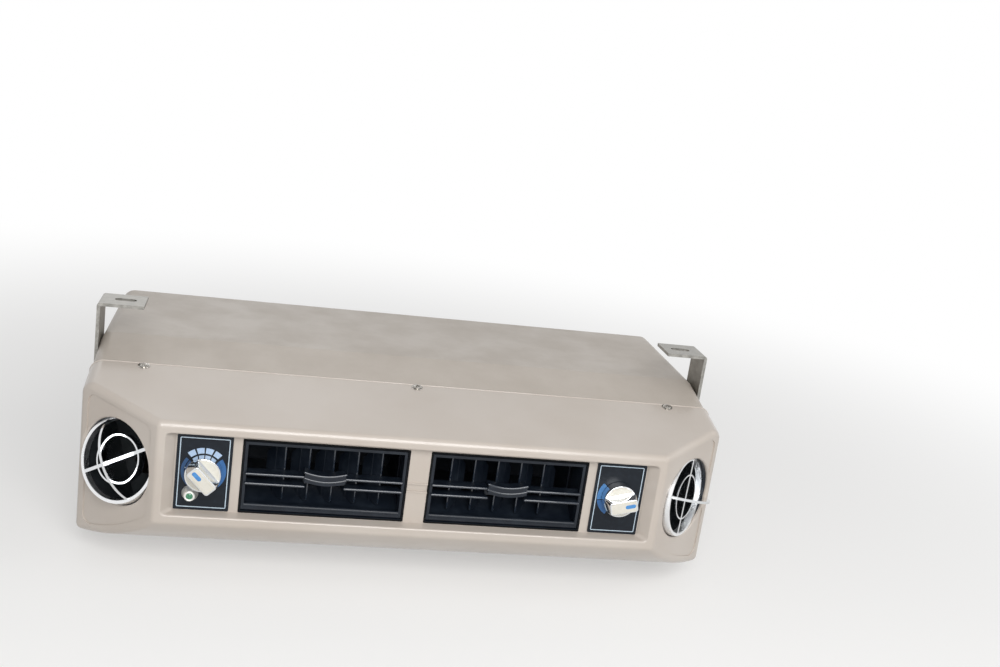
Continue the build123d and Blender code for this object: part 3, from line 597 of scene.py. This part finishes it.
def plated_ring(outlets):
    """Chromium on a grained moulding: bright, but softer than a mirror, so that the ring stays light
    where it looks into the dark bowl. Its grain is drawn at 0.7 mm so that it still shows."""
    return finish(
        "plated_ring", {"Metallic": 1.0, "Base Color": linear("#EDEEEF")},
        patterns=[("smudges", NOISE, outlets.smudge, {"Detail": 3.0}),
                  ("grain", NOISE, 0.7 * MM, {"Detail": 1.0})],
        gloss=("smudges", 0.24, 0.34),
        relief=("grain", 0.01 * MM, 0.4))


def eroded_abs():
    """Black ABS from a coarse spark-eroded tool, inside the bowls: dull dark grey without a gleam, and
    greyer where dust lies."""
    return finish(
        "eroded_abs", {"IOR": 1.54, "Roughness": 0.7, "Specular IOR Level": 0.25},
        patterns=[("dusty", NOISE, 9 * MM, {"Detail": 4.0, "Roughness": 0.6})],
        tones=[linear("#1B1F22"), ("dusty", linear("#272B2E"))])


def satin_nickel():
    """Satin nickel on a spun collar: a light soft metal with the fine unevenness of its blasting, drawn
    at 0.8 mm so that it still shows."""
    return finish(
        "satin_nickel", {"Metallic": 1.0, "Roughness": 0.5, "Base Color": linear("#ECECE8")},
        patterns=[("blasting", NOISE, 0.8 * MM, {})],
        relief=("blasting", 0.01 * MM, 0.6))


def steel_painted_dark_reflection():
    """Steel screws: a mirror darkened and slightly browned as a painted reflection of dark surroundings,
    mottled darker at random.
    """
    return finish(
        "steel_painted_dark_reflection", {"Metallic": 1.0},
        patterns=[("dirt", NOISE, 1.5 * MM, {"Detail": 4.0, "Roughness": 0.6})],
        # Both tones are darkened as a painted reflection of dark surroundings
        tones=[linear("#C2BFBA"), ("dirt", linear("#77726B"))],
        gloss=("dirt", 0.06, 0.22))


def zinc_plate():
    """Bright zinc on pressed steel: a soft grey metal with the cloudy spangle and fine rolling lines of
    the sheet."""
    return finish(
        "zinc_plate", {"Metallic": 1.0},
        patterns=[("cloud", NOISE, 5 * MM, {"Detail": 3.0, "Roughness": 0.6}),
                  ("rolling", WAVE, 0.8 * MM, {"Distortion": 1.5, "Detail Scale": 0.6},
                   {"bands_direction": "Z"})],
        tones=[linear("#8B8984"), ("cloud", linear("#A5A39E"))],
        gloss=("cloud", 0.30, 0.46),
        relief=("rolling", 0.008 * MM, 0.5))


def turned_brass():
    """Free-cutting brass off the lathe: warm yellow, slightly browned, with fine tool rings along its
    length, here 0.8 mm apart so that they show."""
    return finish(
        "turned_brass", {"Metallic": 1.0},
        patterns=[("tarnish", NOISE, 9 * MM, {"Detail": 4.0, "Roughness": 0.6}),
                  ("rings", WAVE, 0.8 * MM, {}, {"bands_direction": "Y"})],
        tones=[linear("#C9A35B"), ("tarnish", linear("#A27E44"))],
        gloss=("tarnish", 0.24, 0.42),
        relief=("rings", 0.01 * MM, 0.5))


def finned_aluminium():
    """Pressed aluminium fins of a coil, 1.8 mm apart across its width: bright ridges, with painted shade in
    the gaps between them.
    """
    return finish(
        "finned_aluminium", {"Metallic": 1.0, "Roughness": 0.42},
        patterns=[("fins", WAVE, 1.8 * MM, {}, {"bands_direction": "X"})],
        # The dark first tone is painted shade in the gaps between the fins
        tones=[linear("#3A3C3E"), ("fins", linear("#C6C8C9"), 0, 1, 0.2, 0.7)],
        relief=("fins", 0.5 * MM, 1.0))


def printed_plate(controls):
    """Screen-printed aluminium plate: near-black satin lacquer with a very fine brushed grain under it
    and a little dust."""
    return finish(
        "printed_plate", {"IOR": 1.5, "Specular IOR Level": 0.25},
        patterns=[("dusty", NOISE, 3.5 * MM, {"Detail": 4.0, "Roughness": 0.6}),
                  ("drawn_out", MAPPING, None, {"Scale": (1.0, 1.0, 18.0)}),
                  ("brushed", NOISE, 6 * MM, {"Vector": "drawn_out"})],
        tones=[controls.plate, ("dusty", linear("#19212A"), 0, 1, 0.5, 0.8)],
        gloss=("dusty", 0.28, 0.40),
        relief=("brushed", 0.01 * MM, 0.4))


def screen_ink(name, ink):
    """Screen ink: a thin even film of colour with tiny pinholes through which the plate shows."""
    return finish(
        name, {"IOR": 1.5},
        patterns=[("pinholes", NOISE, 0.5 * MM, {})],
        tones=[ink, ("pinholes", linear("#101820"), 0, 0.45, 0.6, 0.75)],
        gloss=("pinholes", 0.36, 0.48))


def hatched_ink(controls):
    """Screen ink printed as fine slanting lines 0.9 mm apart, a little lighter than the strong blue."""
    return finish(
        "hatched_ink", {"IOR": 1.5, "Roughness": 0.4},
        patterns=[("slanted", MAPPING, None, {"Rotation": (0.0, math.radians(35), 0.0)}),
                  ("hatching", WAVE, 0.9 * MM, {"Vector": "slanted"}, {"bands_direction": "Z"})],
        tones=[controls.band, ("hatching", controls.hatch, 0, 1, 0.2, 0.8)])


def cream_abs(controls):
    """Gloss cream ABS: light sinks a little way into it, so its edges glow, and handling has left a
    faint greyness in patches. The moulding's grain is drawn at 0.6 mm so that it still shows."""
    return finish(
        "cream_abs", {"IOR": 1.53, "Subsurface Weight": 0.12, "Subsurface Scale": 1.2 * MM,
                      "Subsurface Radius": (1.0, 0.8, 0.6), "Coat Weight": 0.2, "Coat Roughness": 0.1},
        patterns=[("handled", NOISE, 7 * MM, {"Detail": 4.0, "Roughness": 0.6}),
                  ("grain", NOISE, 0.6 * MM, {"Detail": 1.0})],
        tones=[controls.knob, ("handled", linear("#CBC6B8"), 0, 1, 0.45, 0.8)],
        gloss=("handled", 0.22, 0.36),
        relief=("grain", 0.008 * MM, 0.4))


def inlay_acrylic(controls):
    """Blue acrylic paint wiped into the knob's pointer, glossy and slightly uneven."""
    return finish(
        "inlay_acrylic", {"IOR": 1.49, "Coat Weight": 0.3, "Coat Roughness": 0.08},
        patterns=[("uneven", NOISE, 1.6 * MM, {"Detail": 3.0})],
        tones=[controls.inlay, ("uneven", linear("#3474B8"))],
        gloss=("uneven", 0.2, 0.32))


def lens_polystyrene(controls):
    """Dyed clear polystyrene: a deep glossy green with a frosted inside, so it looks lit from within
    even when it is off."""
    return finish(
        "lens_polystyrene", {"IOR": 1.59, "Transmission Weight": 0.35, "Coat Weight": 0.5,
                             "Coat Roughness": 0.05},
        patterns=[("frosted", NOISE, 0.9 * MM, {})],
        tones=[controls.lens, ("frosted", linear("#2F8058"))],
        gloss=("frosted", 0.1, 0.25))


def dress(material, *names):
    """Give CAD nodes a finish, in all their material slots."""
    for name in names:
        thing = frame["nodes"][name]
        if not thing.data.materials:
            thing.data.materials.append(material)
        for slot in thing.material_slots:
            slot.material = material


# ---------------------------------------------------------------- places

def joint_place(name):
    """A joint's place at rest."""
    return np.array(next(j["pos_m"] for j in frame["joints"] if j["name"] == name), float)


def middle_of(low, high):
    """The middle of a box in x and z, as seen from the front."""
    return (low.x + high.x) / 2, (low.z + high.z) / 2


def roof_point(x, y):
    """A point on the bezel's roof, which rises from the face's top edge towards the rear."""
    bezel_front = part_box("front_bezel")[0].y
    return np.array([x, y, FACE_TOP + (y - bezel_front) * math.tan(math.radians(ROOF_SLOPE))])


def looking(place, right, back):
    """The matrix of a camera or lamp at a place: local Z along back, local X as near right as it can be."""
    back = np.array(back) / np.linalg.norm(back)
    right = right - np.dot(right, back) * back
    right = right / np.linalg.norm(right)
    matrix = np.eye(4)
    matrix[:3] = np.stack([right, np.cross(back, right), back, place], axis=-1)
    return Matrix(matrix.tolist())


# ---------------------------------------------------------------- operators

class CoolerOperator:
    """What the operators share."""
    bl_options = {"REGISTER", "UNDO"}


class COOLER_OT_stage(CoolerOperator, bpy.types.Operator):
    """Pale floor, soft lights, white surroundings and the camera"""
    bl_idname = "cooler.stage"
    bl_label = "Stage"

    def execute(self, context):
        stage = context.scene.cooler_stage
        self.camera(context, stage)
        self.surroundings(context, stage)
        self.floor(context, stage)
        low, high = cad_bounds
        aim = np.array([0.0, 0.5 * (low[1] + high[1]) - stage.aim_forward, 0.5 * (low[2] + high[2])])
        for name, place, side, power in (("key_light", KEY_PLACE, stage.key_size, stage.key_power),
                                         ("side_light", SIDE_PLACE, stage.side_size, stage.side_power),
                                         ("rear_light", REAR_PLACE, stage.rear_size, stage.rear_power)):
            self.light(context, name, place, aim, side, power)
        return {"FINISHED"}

    def camera(self, context, stage):
        """The photograph's view."""
        lens = bpy.data.cameras.new("camera")
        lens.sensor_width = 36.0
        lens.sensor_fit = "HORIZONTAL"
        lens.lens = stage.focal
        lens.clip_start = 10 * MM
        camera = bpy.data.objects.new("camera", lens)
        camera.matrix_world = looking(CAMERA_PLACE, CAMERA_RIGHT, CAMERA_BACK)
        context.scene.collection.objects.link(camera)
        context.scene.camera = camera
        context.scene.view_settings.view_transform = "Standard"

    def surroundings(self, context, stage):
        """Soft light on the object, and white where a camera, mirror or glass ray leaves the scene."""
        world = bpy.data.worlds.new("surroundings")
        context.scene.world = world
        world.use_nodes = True
        tree = world.node_tree
        tree.nodes.clear()
        sky = {"Color": tuple(stage.sky), "Strength": self.white(tree, stage)}
        light = add(tree, "ShaderNodeBackground", sky)
        add(tree, "ShaderNodeOutputWorld", {"Surface": light.outputs[0]})

    def white(self, tree, stage):
        """The background's strength: white to the camera, mirrors and glass, the sky's to matt surfaces."""
        ray = add(tree, "ShaderNodeLightPath").outputs
        mirrored = {0: ray["Is Glossy Ray"], 1: ray["Is Transmission Ray"]}
        mirrored = add(tree, "ShaderNodeMath", mirrored, operation="MAXIMUM").outputs[0]
        seen = {0: ray["Is Camera Ray"], 1: mirrored}
        seen = add(tree, "ShaderNodeMath", seen, operation="MAXIMUM").outputs[0]
        return add(tree, "ShaderNodeMapRange", {"Value": seen, "To Min": stage.sky_strength,
                                                "To Max": 1.0}).outputs["Result"]

    def floor(self, context, stage):
        """A large plain floor at the object's lowest point, which fades into the background."""
        level_there = cad_bounds[0][2]
        side = np.array([-stage.floor_reach, stage.floor_reach])
        x, y = np.meshgrid(side, side, indexing="ij")
        points, faces = surface(np.stack([x, y, level_there + 0 * x], axis=-1))
        mesh = bpy.data.meshes.new("floor")
        mesh.from_pydata(points, [], faces[:, ::-1])
        material = finish(
            "matt_floor", {"Roughness": 0.9},
            patterns=[("uneven", NOISE, stage.floor_lumps, {})],
            tones=[stage.floor, ("uneven", linear("#F0EFED"), 0, 1, 0, 1)])
        tree = material.node_tree
        place = tree.nodes["Texture Coordinate"].outputs["Object"]
        away = add(tree, "ShaderNodeVectorMath", {0: place}, operation="LENGTH").outputs["Value"]
        fade = {"Value": away, "From Min": stage.floor_clear, "From Max": stage.floor_white,
                "To Min": stage.floor_glow}
        fade = add(tree, "ShaderNodeMapRange", fade, interpolation_type="SMOOTHSTEP").outputs["Result"]
        glow = {"Color": tuple(stage.sky), "Strength": self.white(tree, stage)}
        glow = add(tree, "ShaderNodeEmission", glow).outputs[0]
        matt = tree.nodes["Principled BSDF"].outputs[0]
        mixed = add(tree, "ShaderNodeMixShader", {0: fade, 1: matt, 2: glow}).outputs[0]
        tree.links.new(mixed, tree.nodes["Material Output"].inputs["Surface"])
        mesh.materials.append(material)
        thing = bpy.data.objects.new("floor", mesh)
        context.scene.collection.objects.link(thing)

    def light(self, context, name, place, aim, side, power):
        """A square area light that looks at the object."""
        lamp = bpy.data.lights.new(name, "AREA")
        lamp.shape = "SQUARE"
        lamp.size = side
        lamp.energy = power
        thing = bpy.data.objects.new(name, lamp)
        back = np.array(place) - aim
        thing.matrix_world = looking(place, np.cross([0, 0, 1], back), back)
        thing.visible_camera = False
        context.scene.collection.objects.link(thing)


class COOLER_OT_housing(CoolerOperator, bpy.types.Operator):
    """Enamel on the bezel, case and pan, and the metal of hangers, shafts, coil and hose ends"""
    bl_idname = "cooler.housing"
    bl_label = "Housing finishes"

    def execute(self, context):
        housing = context.scene.cooler_housing
        enamel = enamelled_moulding(housing)
        dress(enamel, "front_bezel")
        self.lip(housing, enamel)
        dress(enamelled_steel(housing), "rear_case", "case_pan")
        dress(zinc_plate(), "hanger_left", "hanger_right", "fan_shaft", "temp_shaft")
        dress(turned_brass(), "suction_fitting", "liquid_fitting")
        dress(finned_aluminium(), "evaporator_core")
        return {"FINISHED"}

    def lip(self, housing, enamel):
        """The bezel's thin rolled rear lip: a circle carried round its outline just before the seam, with
        wider corners at the roof than at the bottom. Its middle lies a little inside the outline."""
        low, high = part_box("front_bezel")
        top = roof_point(0.0, high.y)[2]
        width, height = high.x - low.x, top - low.z
        sunk, forward = 0.4 * housing.lip, 1.2 * housing.lip
        upper = slice(0, 2 * CORNER_STEPS)
        lower = slice(2 * CORNER_STEPS, 4 * CORNER_STEPS)
        halves = []
        for rows, radius in ((upper, housing.roof_corner), (lower, housing.bottom_corner)):
            centres, outward = rounded_outline(width, height, radius)
            halves.append((centres[rows] + outward[rows] * (radius - sunk), outward[rows]))
        flat, outward = (np.concatenate(both) for both in zip(*halves))
        a = np.linspace(2 * np.pi, 0, 12, endpoint=False)
        ring = flat[:, None, :] + outward[:, None, :] * (housing.lip * np.cos(a))[None, :, None]
        deep = np.broadcast_to(housing.lip * np.sin(a)[None, :, None], ring.shape[:2] + (1,))
        tube = surface(np.concatenate([ring, deep], axis=-1), wrap_rows=True, wrap_columns=True)
        seat = ((low.x + high.x) / 2, high.y - forward, (top + low.z) / 2)
        piece("bezel_lip", placed(tube, seat, RIGHTWARDS, FORWARD), enamel, "housing")


class COOLER_OT_louvres(CoolerOperator, bpy.types.Operator):
    """Satin black on the louvres, ducts, sockets, spouts and control bodies, and the louvres' edges"""
    bl_idname = "cooler.louvres"
    bl_label = "Black mouldings"

    def execute(self, context):
        louvres = context.scene.cooler_louvres
        black, gap_shadow, edge_highlight = black_abs(louvres), painted_gap_shadow(), glossy_edge_highlight_abs(louvres)
        dress(black, "fan_switch", "temp_switch")
        for side in ("left", "right"):
            dress(black, "louvre_frame_" + side, "louvre_drum_" + side, "ball_socket_" + side,
                  "drain_spout_" + side)
            dress(black, *[f"swivel_vane_{side}_{i}" for i in range(1, 6)])
            self.drum_edges(side, louvres, edge_highlight)
            self.vane_edges(side, louvres, edge_highlight)
            self.plenum(side, louvres, black)
            self.shadow_gap(side, louvres, gap_shadow)
        return {"FINISHED"}

    def shadow_gap(self, side, louvres, gap_shadow):
        """A thin near-black band between the bezel and a louvre frame: painted shadow of the gap there."""
        x, _, z = joint_place(side + "_louvre_tilt")
        band = outline_band(louvres.window_width - louvres.shadow_gap, louvres.window_height - louvres.shadow_gap,
                            louvres.shadow_gap_corner, louvres.shadow_gap, louvres.shadow_gap_thick)
        seat = (x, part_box("louvre_frame_" + side)[0].y + louvres.shadow_gap_sunk, z)
        piece("gasket_" + side, placed(band, seat, RIGHTWARDS, FORWARD), gap_shadow, "housing")

    def drum_edges(self, side, louvres, edge_highlight):
        """The rounded front edges of the two blades, and the two ridges across the thumb tab, which dip
        by the sag times one less the square of the share of the way from the tab's middle to its end."""
        low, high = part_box("louvre_drum_" + side)
        half_tab = 0.5 * louvres.tab_width
        half_drum = 0.5 * (high.x - low.x) - louvres.drum_end
        shapes = []
        for z in (louvres.upper_blade, louvres.lower_blade):
            for way in (-1, 1):
                x = way * np.linspace(half_tab, half_drum, 3)
                path = np.stack([x, 0 * x - louvres.blade_front, 0 * x + z], axis=-1)
                shapes.append(bead(path, louvres.blade_edge))
        x = np.linspace(-half_tab, half_tab, 25)
        sag = louvres.tab_sag * (1 - (x / half_tab) ** 2)
        for z, radius in ((louvres.upper_ridge, louvres.upper_ridge_radius),
                          (louvres.lower_ridge, louvres.lower_ridge_radius)):
            shapes.append(bead(np.stack([x, 0 * x - louvres.tab_front, z - sag], axis=-1), radius))
        points, faces = joined(shapes)
        points = points + joint_place(side + "_louvre_tilt")
        piece(f"louvre_edges_{side}", (points, faces), edge_highlight, "louvre_drum_" + side)

    def vane_edges(self, side, louvres, edge_highlight):
        """The rounded front edges of the upright vanes: a bead up the vane's straight edge, with a
        quarter circle at both corners."""
        turn = math.radians(VANE_TURN if side == "left" else -VANE_TURN)
        forward = np.array([math.sin(turn), -math.cos(turn), 0.0])
        up = np.array([0.0, 0.0, 1.0])
        a = np.linspace(0, 0.5 * np.pi, 7)[:, None]
        corner = louvres.vane_corner
        reach = louvres.vane_reach - corner * (1 - np.cos(a))
        height = louvres.vane_edge_height + corner * np.sin(a)
        z = np.linspace(-louvres.vane_edge_height, louvres.vane_edge_height, 9)[1:-1, None]
        path = np.concatenate([reach[::-1] * forward - height[::-1] * up,
                               louvres.vane_reach * forward + z * up, reach * forward + height * up])
        points, faces = bead(path, louvres.vane_edge)
        for i in range(1, 6):
            shape = (points + joint_place(f"{side}_vane_swing_{i}"), faces)
            body = f"swivel_vane_{side}_{i}"
            piece(f"vane_edge_{side}_{i}", shape, edge_highlight, body)

    def plenum(self, side, louvres, black):
        """The air box behind a louvre's duct, open to the duct and closed at the back. Such units have an
        air box there, and its closed black back is also painted shade for the dark depths of the duct.
        """
        low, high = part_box("louvre_frame_" + side)
        width, height, inner_share = 0.95 * (high.x - low.x), 0.9 * (high.z - low.z), 0.965
        depth, bottom = louvres.plenum_depth, louvres.plenum_depth - louvres.plenum_skin
        centres, directions = rounded_outline(width, height, louvres.plenum_corner)
        box = layered(centres + directions * louvres.plenum_corner,
                      [(0, bottom), (inner_share, bottom), (inner_share, 0), (1, 0), (1, depth), (0, depth)])
        x, z = middle_of(low, high)
        seat = (x, high.y - louvres.plenum_lap, z)
        piece("plenum_" + side, placed(box, seat, LEFTWARDS, BACKWARD), black, "housing")


class COOLER_OT_outlets(CoolerOperator, bpy.types.Operator):
    """Chrome on the round outlets' rings and vanes, dull black in their bowls, and their liners"""
    bl_idname = "cooler.outlets"
    bl_label = "Round outlets"

    def execute(self, context):
        outlets = context.scene.cooler_outlets
        bright, ring, bowl = chrome_plate(outlets), plated_ring(outlets), eroded_abs()
        for side in ("left", "right"):
            dress(bright, "ball_vanes_" + side)
            dress(ring, "ball_ring_" + side)
            dress(bowl, "ball_bowl_" + side)
            self.liners(side, outlets, ring, bowl)
        return {"FINISHED"}

    def liners(self, side, outlets, ring, bowl):
        """The ring's bright flared mouth and the black liner behind it, both turned about the outlet's
        axis. The mouth is a cone, and the liner follows the inside of the ball's sphere."""
        sign, up, inwards = OUTLET_AIMS[side]
        turn = math.radians(CHEEK_ANGLE)
        along = np.array([math.cos(turn), sign * math.sin(turn), 0.0])
        outward = np.array([sign * math.sin(turn), -math.cos(turn), 0.0])
        axis = outward + [0, 0, math.tan(math.radians(up))] - along * sign * math.tan(math.radians(inwards))
        centre = joint_place(side + "_ball_nod")
        front, back = outlets.ring_front, outlets.ring_front - outlets.mouth_depth
        skin, gap = outlets.liner_skin, outlets.liner_gap
        inside = outlets.ball_radius - outlets.ring_skin
        rim = math.sqrt(inside ** 2 - front ** 2)
        throat = rim - outlets.mouth_flare
        mouth = [(throat + skin, back), (rim, front - gap), (rim - skin, front - gap), (throat, back)]
        height = np.linspace(-outlets.ring_rear, back, 16)
        outer = np.sqrt((inside - gap) ** 2 - height ** 2)
        liner = np.concatenate([np.stack([outer, height], axis=-1),
                                np.stack([outer - skin, height], axis=-1)[::-1]])
        for name, profile, material, slot in (("outlet_mouth_", mouth, ring, "chrome"),
                                              ("outlet_liner_", liner, bowl, "black_plastic")):
            shape = placed(turned(profile, 96, closed=True), centre, UPWARDS, axis)
            piece(name + side, shape, material, "outlet_ball_" + side)


class COOLER_OT_plates(CoolerOperator, bpy.types.Operator):
    """Printed rings, wedges, ticks and borders on the two control plates"""
    bl_idname = "cooler.plates"
    bl_label = "Printed plates"

    def execute(self, context):
        controls = context.scene.cooler_controls
        dress(printed_plate(controls), "fan_plate", "temp_plate")
        inks = {
            "line": screen_ink("line_ink", controls.line),
            "wedge": screen_ink("wedge_ink", controls.wedge),
            "band": screen_ink("band_ink", controls.band),
            "deep": screen_ink("deep_band_ink", controls.band_deep),
            "hatch": hatched_ink(controls),
        }
        self.print_plate("fan", FAN_MARKS, inks, controls)
        self.print_plate("temp", TEMP_MARKS, inks, controls)
        return {"FINISHED"}

    def print_plate(self, name, marks, inks, controls):
        """All the ink on one plate, a piece for each colour: the marks round the knob and the border."""
        low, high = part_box(name + "_plate")
        x, z = middle_of(low, high)
        inset = 2 * controls.border_inset
        border = outline_band(high.x - low.x - inset, high.z - low.z - inset, controls.border_corner,
                              controls.border_line, controls.ink)
        shapes = {"line": [placed(border, (x, low.y, z), RIGHTWARDS, FORWARD)]}
        knob = joint_place(name + "_turn")
        for ink, inner, outer, start, end in marks:
            band = arc_band(inner * MM, outer * MM, start, end, controls.ink)
            shapes.setdefault(ink, []).append(placed(band, (knob[0], low.y, knob[2]), RIGHTWARDS, FORWARD))
        for ink, parts in shapes.items():
            piece(f"{name}_plate_{ink}_print", joined(parts), inks[ink], "housing")


class COOLER_OT_knobs(CoolerOperator, bpy.types.Operator):
    """Plated knobs with cream faces and a blue inlay in each pointer"""
    bl_idname = "cooler.knobs"
    bl_label = "Knobs"

    def execute(self, context):
        controls = context.scene.cooler_controls
        dress(bpy.data.materials["chrome_plate"], "fan_knob", "temp_knob")
        finishes = cream_abs(controls), inlay_acrylic(controls)
        self.faces("fan", controls.fan_pointer, controls, *finishes)
        self.faces("temp", controls.temp_pointer, controls, *finishes)
        return {"FINISHED"}

    def faces(self, name, pointer, controls, cream, acrylic):
        """One knob's cream faces, on the grip bar and on the disc at both its sides, and its inlay."""
        thick, edge = controls.face_thick, controls.face_edge
        face = pillow(controls.face_length, controls.face_width, controls.face_corner, thick, edge)
        outline, middle = disc_segment(controls.disc_radius, controls.disc_chord)
        leaf = plaque(outline, thick, edge)
        low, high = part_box(name + "_knob")
        x, _, z = joint_place(name + "_turn")
        along = np.array([math.cos(pointer), 0.0, math.sin(pointer)])
        across = np.array([-along[2], 0.0, along[0]])
        bar = np.array([x, low.y + thick - controls.face_proud, z])
        disc = np.array([x, high.y - controls.disc_height + thick - controls.leaf_proud, z])
        shapes = [placed(face, bar, along, FORWARD)]
        for way in (-1, 1):
            shapes.append(placed(leaf, disc + way * middle * across, way * along, FORWARD))
        body = name + "_control"
        piece(name + "_knob_faces", joined(shapes), cream, body)
        round_end = 0.49 * controls.inlay_width
        inlay = pillow(controls.inlay_length, controls.inlay_width, round_end, thick, edge)
        seat = np.array([x, low.y + thick - controls.inlay_proud, z]) + along * controls.inlay_offset
        piece(name + "_knob_inlay", placed(inlay, seat, along, FORWARD), acrylic, body)


class COOLER_OT_lamp(CoolerOperator, bpy.types.Operator):
    """Green pilot lens in its bright collar"""
    bl_idname = "cooler.lamp"
    bl_label = "Pilot lamp"

    def execute(self, context):
        controls = context.scene.cooler_controls
        dress(lens_polystyrene(controls), "lamp_lens")
        satin = satin_nickel()
        dress(satin, "lamp_bezel")
        low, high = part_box("lamp_bezel")
        x, z = middle_of(low, high)
        t = np.linspace(0, 2 * np.pi, 16, endpoint=False)
        roll = controls.rim_roll
        rim = np.stack([controls.rim_radius + roll * np.cos(t), roll * np.sin(t)], axis=-1)
        shape = placed(turned(rim, closed=True), (x, low.y, z), RIGHTWARDS, FORWARD)
        piece("lamp_rim", shape, satin, "housing")
        return {"FINISHED"}


class COOLER_OT_bezel_screws(CoolerOperator, bpy.types.Operator):
    """Three bright cross-recess screws along the bezel's rear edge"""
    bl_idname = "cooler.bezel_screws"
    bl_label = "Bezel screws"

    def execute(self, context):
        housing = context.scene.cooler_housing
        bright = steel_painted_dark_reflection()
        slope = math.radians(ROOF_SLOPE)
        up = np.array([0, -math.sin(slope), math.cos(slope)])
        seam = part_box("front_bezel")[1].y
        shape = screw_head(housing.screw_dome, housing.screw_height, housing.screw_slot,
                           housing.screw_slot_depth, housing.screw_radius)
        for i, twist in enumerate(SCREW_TWISTS, 1):
            seat = roof_point((i - 2) * housing.screw_spacing, seam - housing.screw_setback)
            turn = (math.cos(math.radians(twist)), math.sin(math.radians(twist)), 0.0)
            piece(f"bezel_screw_{i}", placed(shape, seat, turn, up), bright, "housing")
        return {"FINISHED"}


class COOLER_OT_case_screws(CoolerOperator, bpy.types.Operator):
    """Hexagon screws that hold the pan to the case, on its sides and back"""
    bl_idname = "cooler.case_screws"
    bl_label = "Case screws"

    def execute(self, context):
        housing = context.scene.cooler_housing
        low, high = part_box("rear_case")
        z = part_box("case_pan")[1].z - housing.case_screw_drop
        shape = hex_head(housing.case_screw_flats, housing.case_screw_height, housing.case_screw_radius)
        seats = [((side * high.x, low.y + share * (high.y - low.y), z), (side, 0, 0))
                 for side in (-1, 1) for share in SIDE_SCREWS]
        seats += [((share * high.x, high.y, z), BACKWARD) for share in BACK_SCREWS]
        heads = [placed(shape, seat, UPWARDS, out) for seat, out in seats]
        piece("case_screws", joined(heads), bpy.data.materials["zinc_plate"], "housing")
        return {"FINISHED"}


class COOLER_PT_panel(bpy.types.Panel):
    """Lists the unit's pieces and their settings"""
    bl_idname = "COOLER_PT_panel"
    bl_label = "Air conditioner"
    bl_space_type = "VIEW_3D"
    bl_region_type = "UI"
    bl_category = "Cooler"

    def draw(self, context):
        for name, group, operators in SECTIONS:
            box = self.layout.box()
            box.label(text=name)
            settings = getattr(context.scene, group)
            for key in settings.bl_rna.properties.keys():
                if key not in ("rna_type", "name"):
                    box.prop(settings, key)
            for operator in operators:
                box.operator(operator.bl_idname)


SECTIONS = [
    ("Stage", "cooler_stage", (COOLER_OT_stage,)),
    ("Housing", "cooler_housing", (COOLER_OT_housing, COOLER_OT_bezel_screws, COOLER_OT_case_screws)),
    ("Black mouldings", "cooler_louvres", (COOLER_OT_louvres,)),
    ("Round outlets", "cooler_outlets", (COOLER_OT_outlets,)),
    ("Controls", "cooler_controls", (COOLER_OT_plates, COOLER_OT_knobs, COOLER_OT_lamp)),
]

GROUPS = {"cooler_stage": CoolerStage, "cooler_housing": CoolerHousing, "cooler_louvres": CoolerLouvres,
          "cooler_outlets": CoolerOutlets, "cooler_controls": CoolerControls}

# In the order in which they are made
OPERATORS = (COOLER_OT_stage, COOLER_OT_housing, COOLER_OT_louvres, COOLER_OT_outlets, COOLER_OT_plates,
             COOLER_OT_knobs, COOLER_OT_lamp, COOLER_OT_bezel_screws, COOLER_OT_case_screws)


def register():
    """Register the settings, operators and panel."""
    for name, group in GROUPS.items():
        bpy.utils.register_class(group)
        setattr(bpy.types.Scene, name, bpy.props.PointerProperty(type=group))
    for operator in OPERATORS:
        bpy.utils.register_class(operator)
    bpy.utils.register_class(COOLER_PT_panel)


def unregister():
    """Take everything out again."""
    bpy.utils.unregister_class(COOLER_PT_panel)
    for operator in reversed(OPERATORS):
        bpy.utils.unregister_class(operator)
    for name, group in reversed(list(GROUPS.items())):
        delattr(bpy.types.Scene, name)
        bpy.utils.unregister_class(group)


def main():
    """Make everything in order."""
    register()
    for operator in OPERATORS:
        getattr(bpy.ops.cooler, operator.bl_idname.split(".")[1])()


if __name__ == "__main__":
    main()
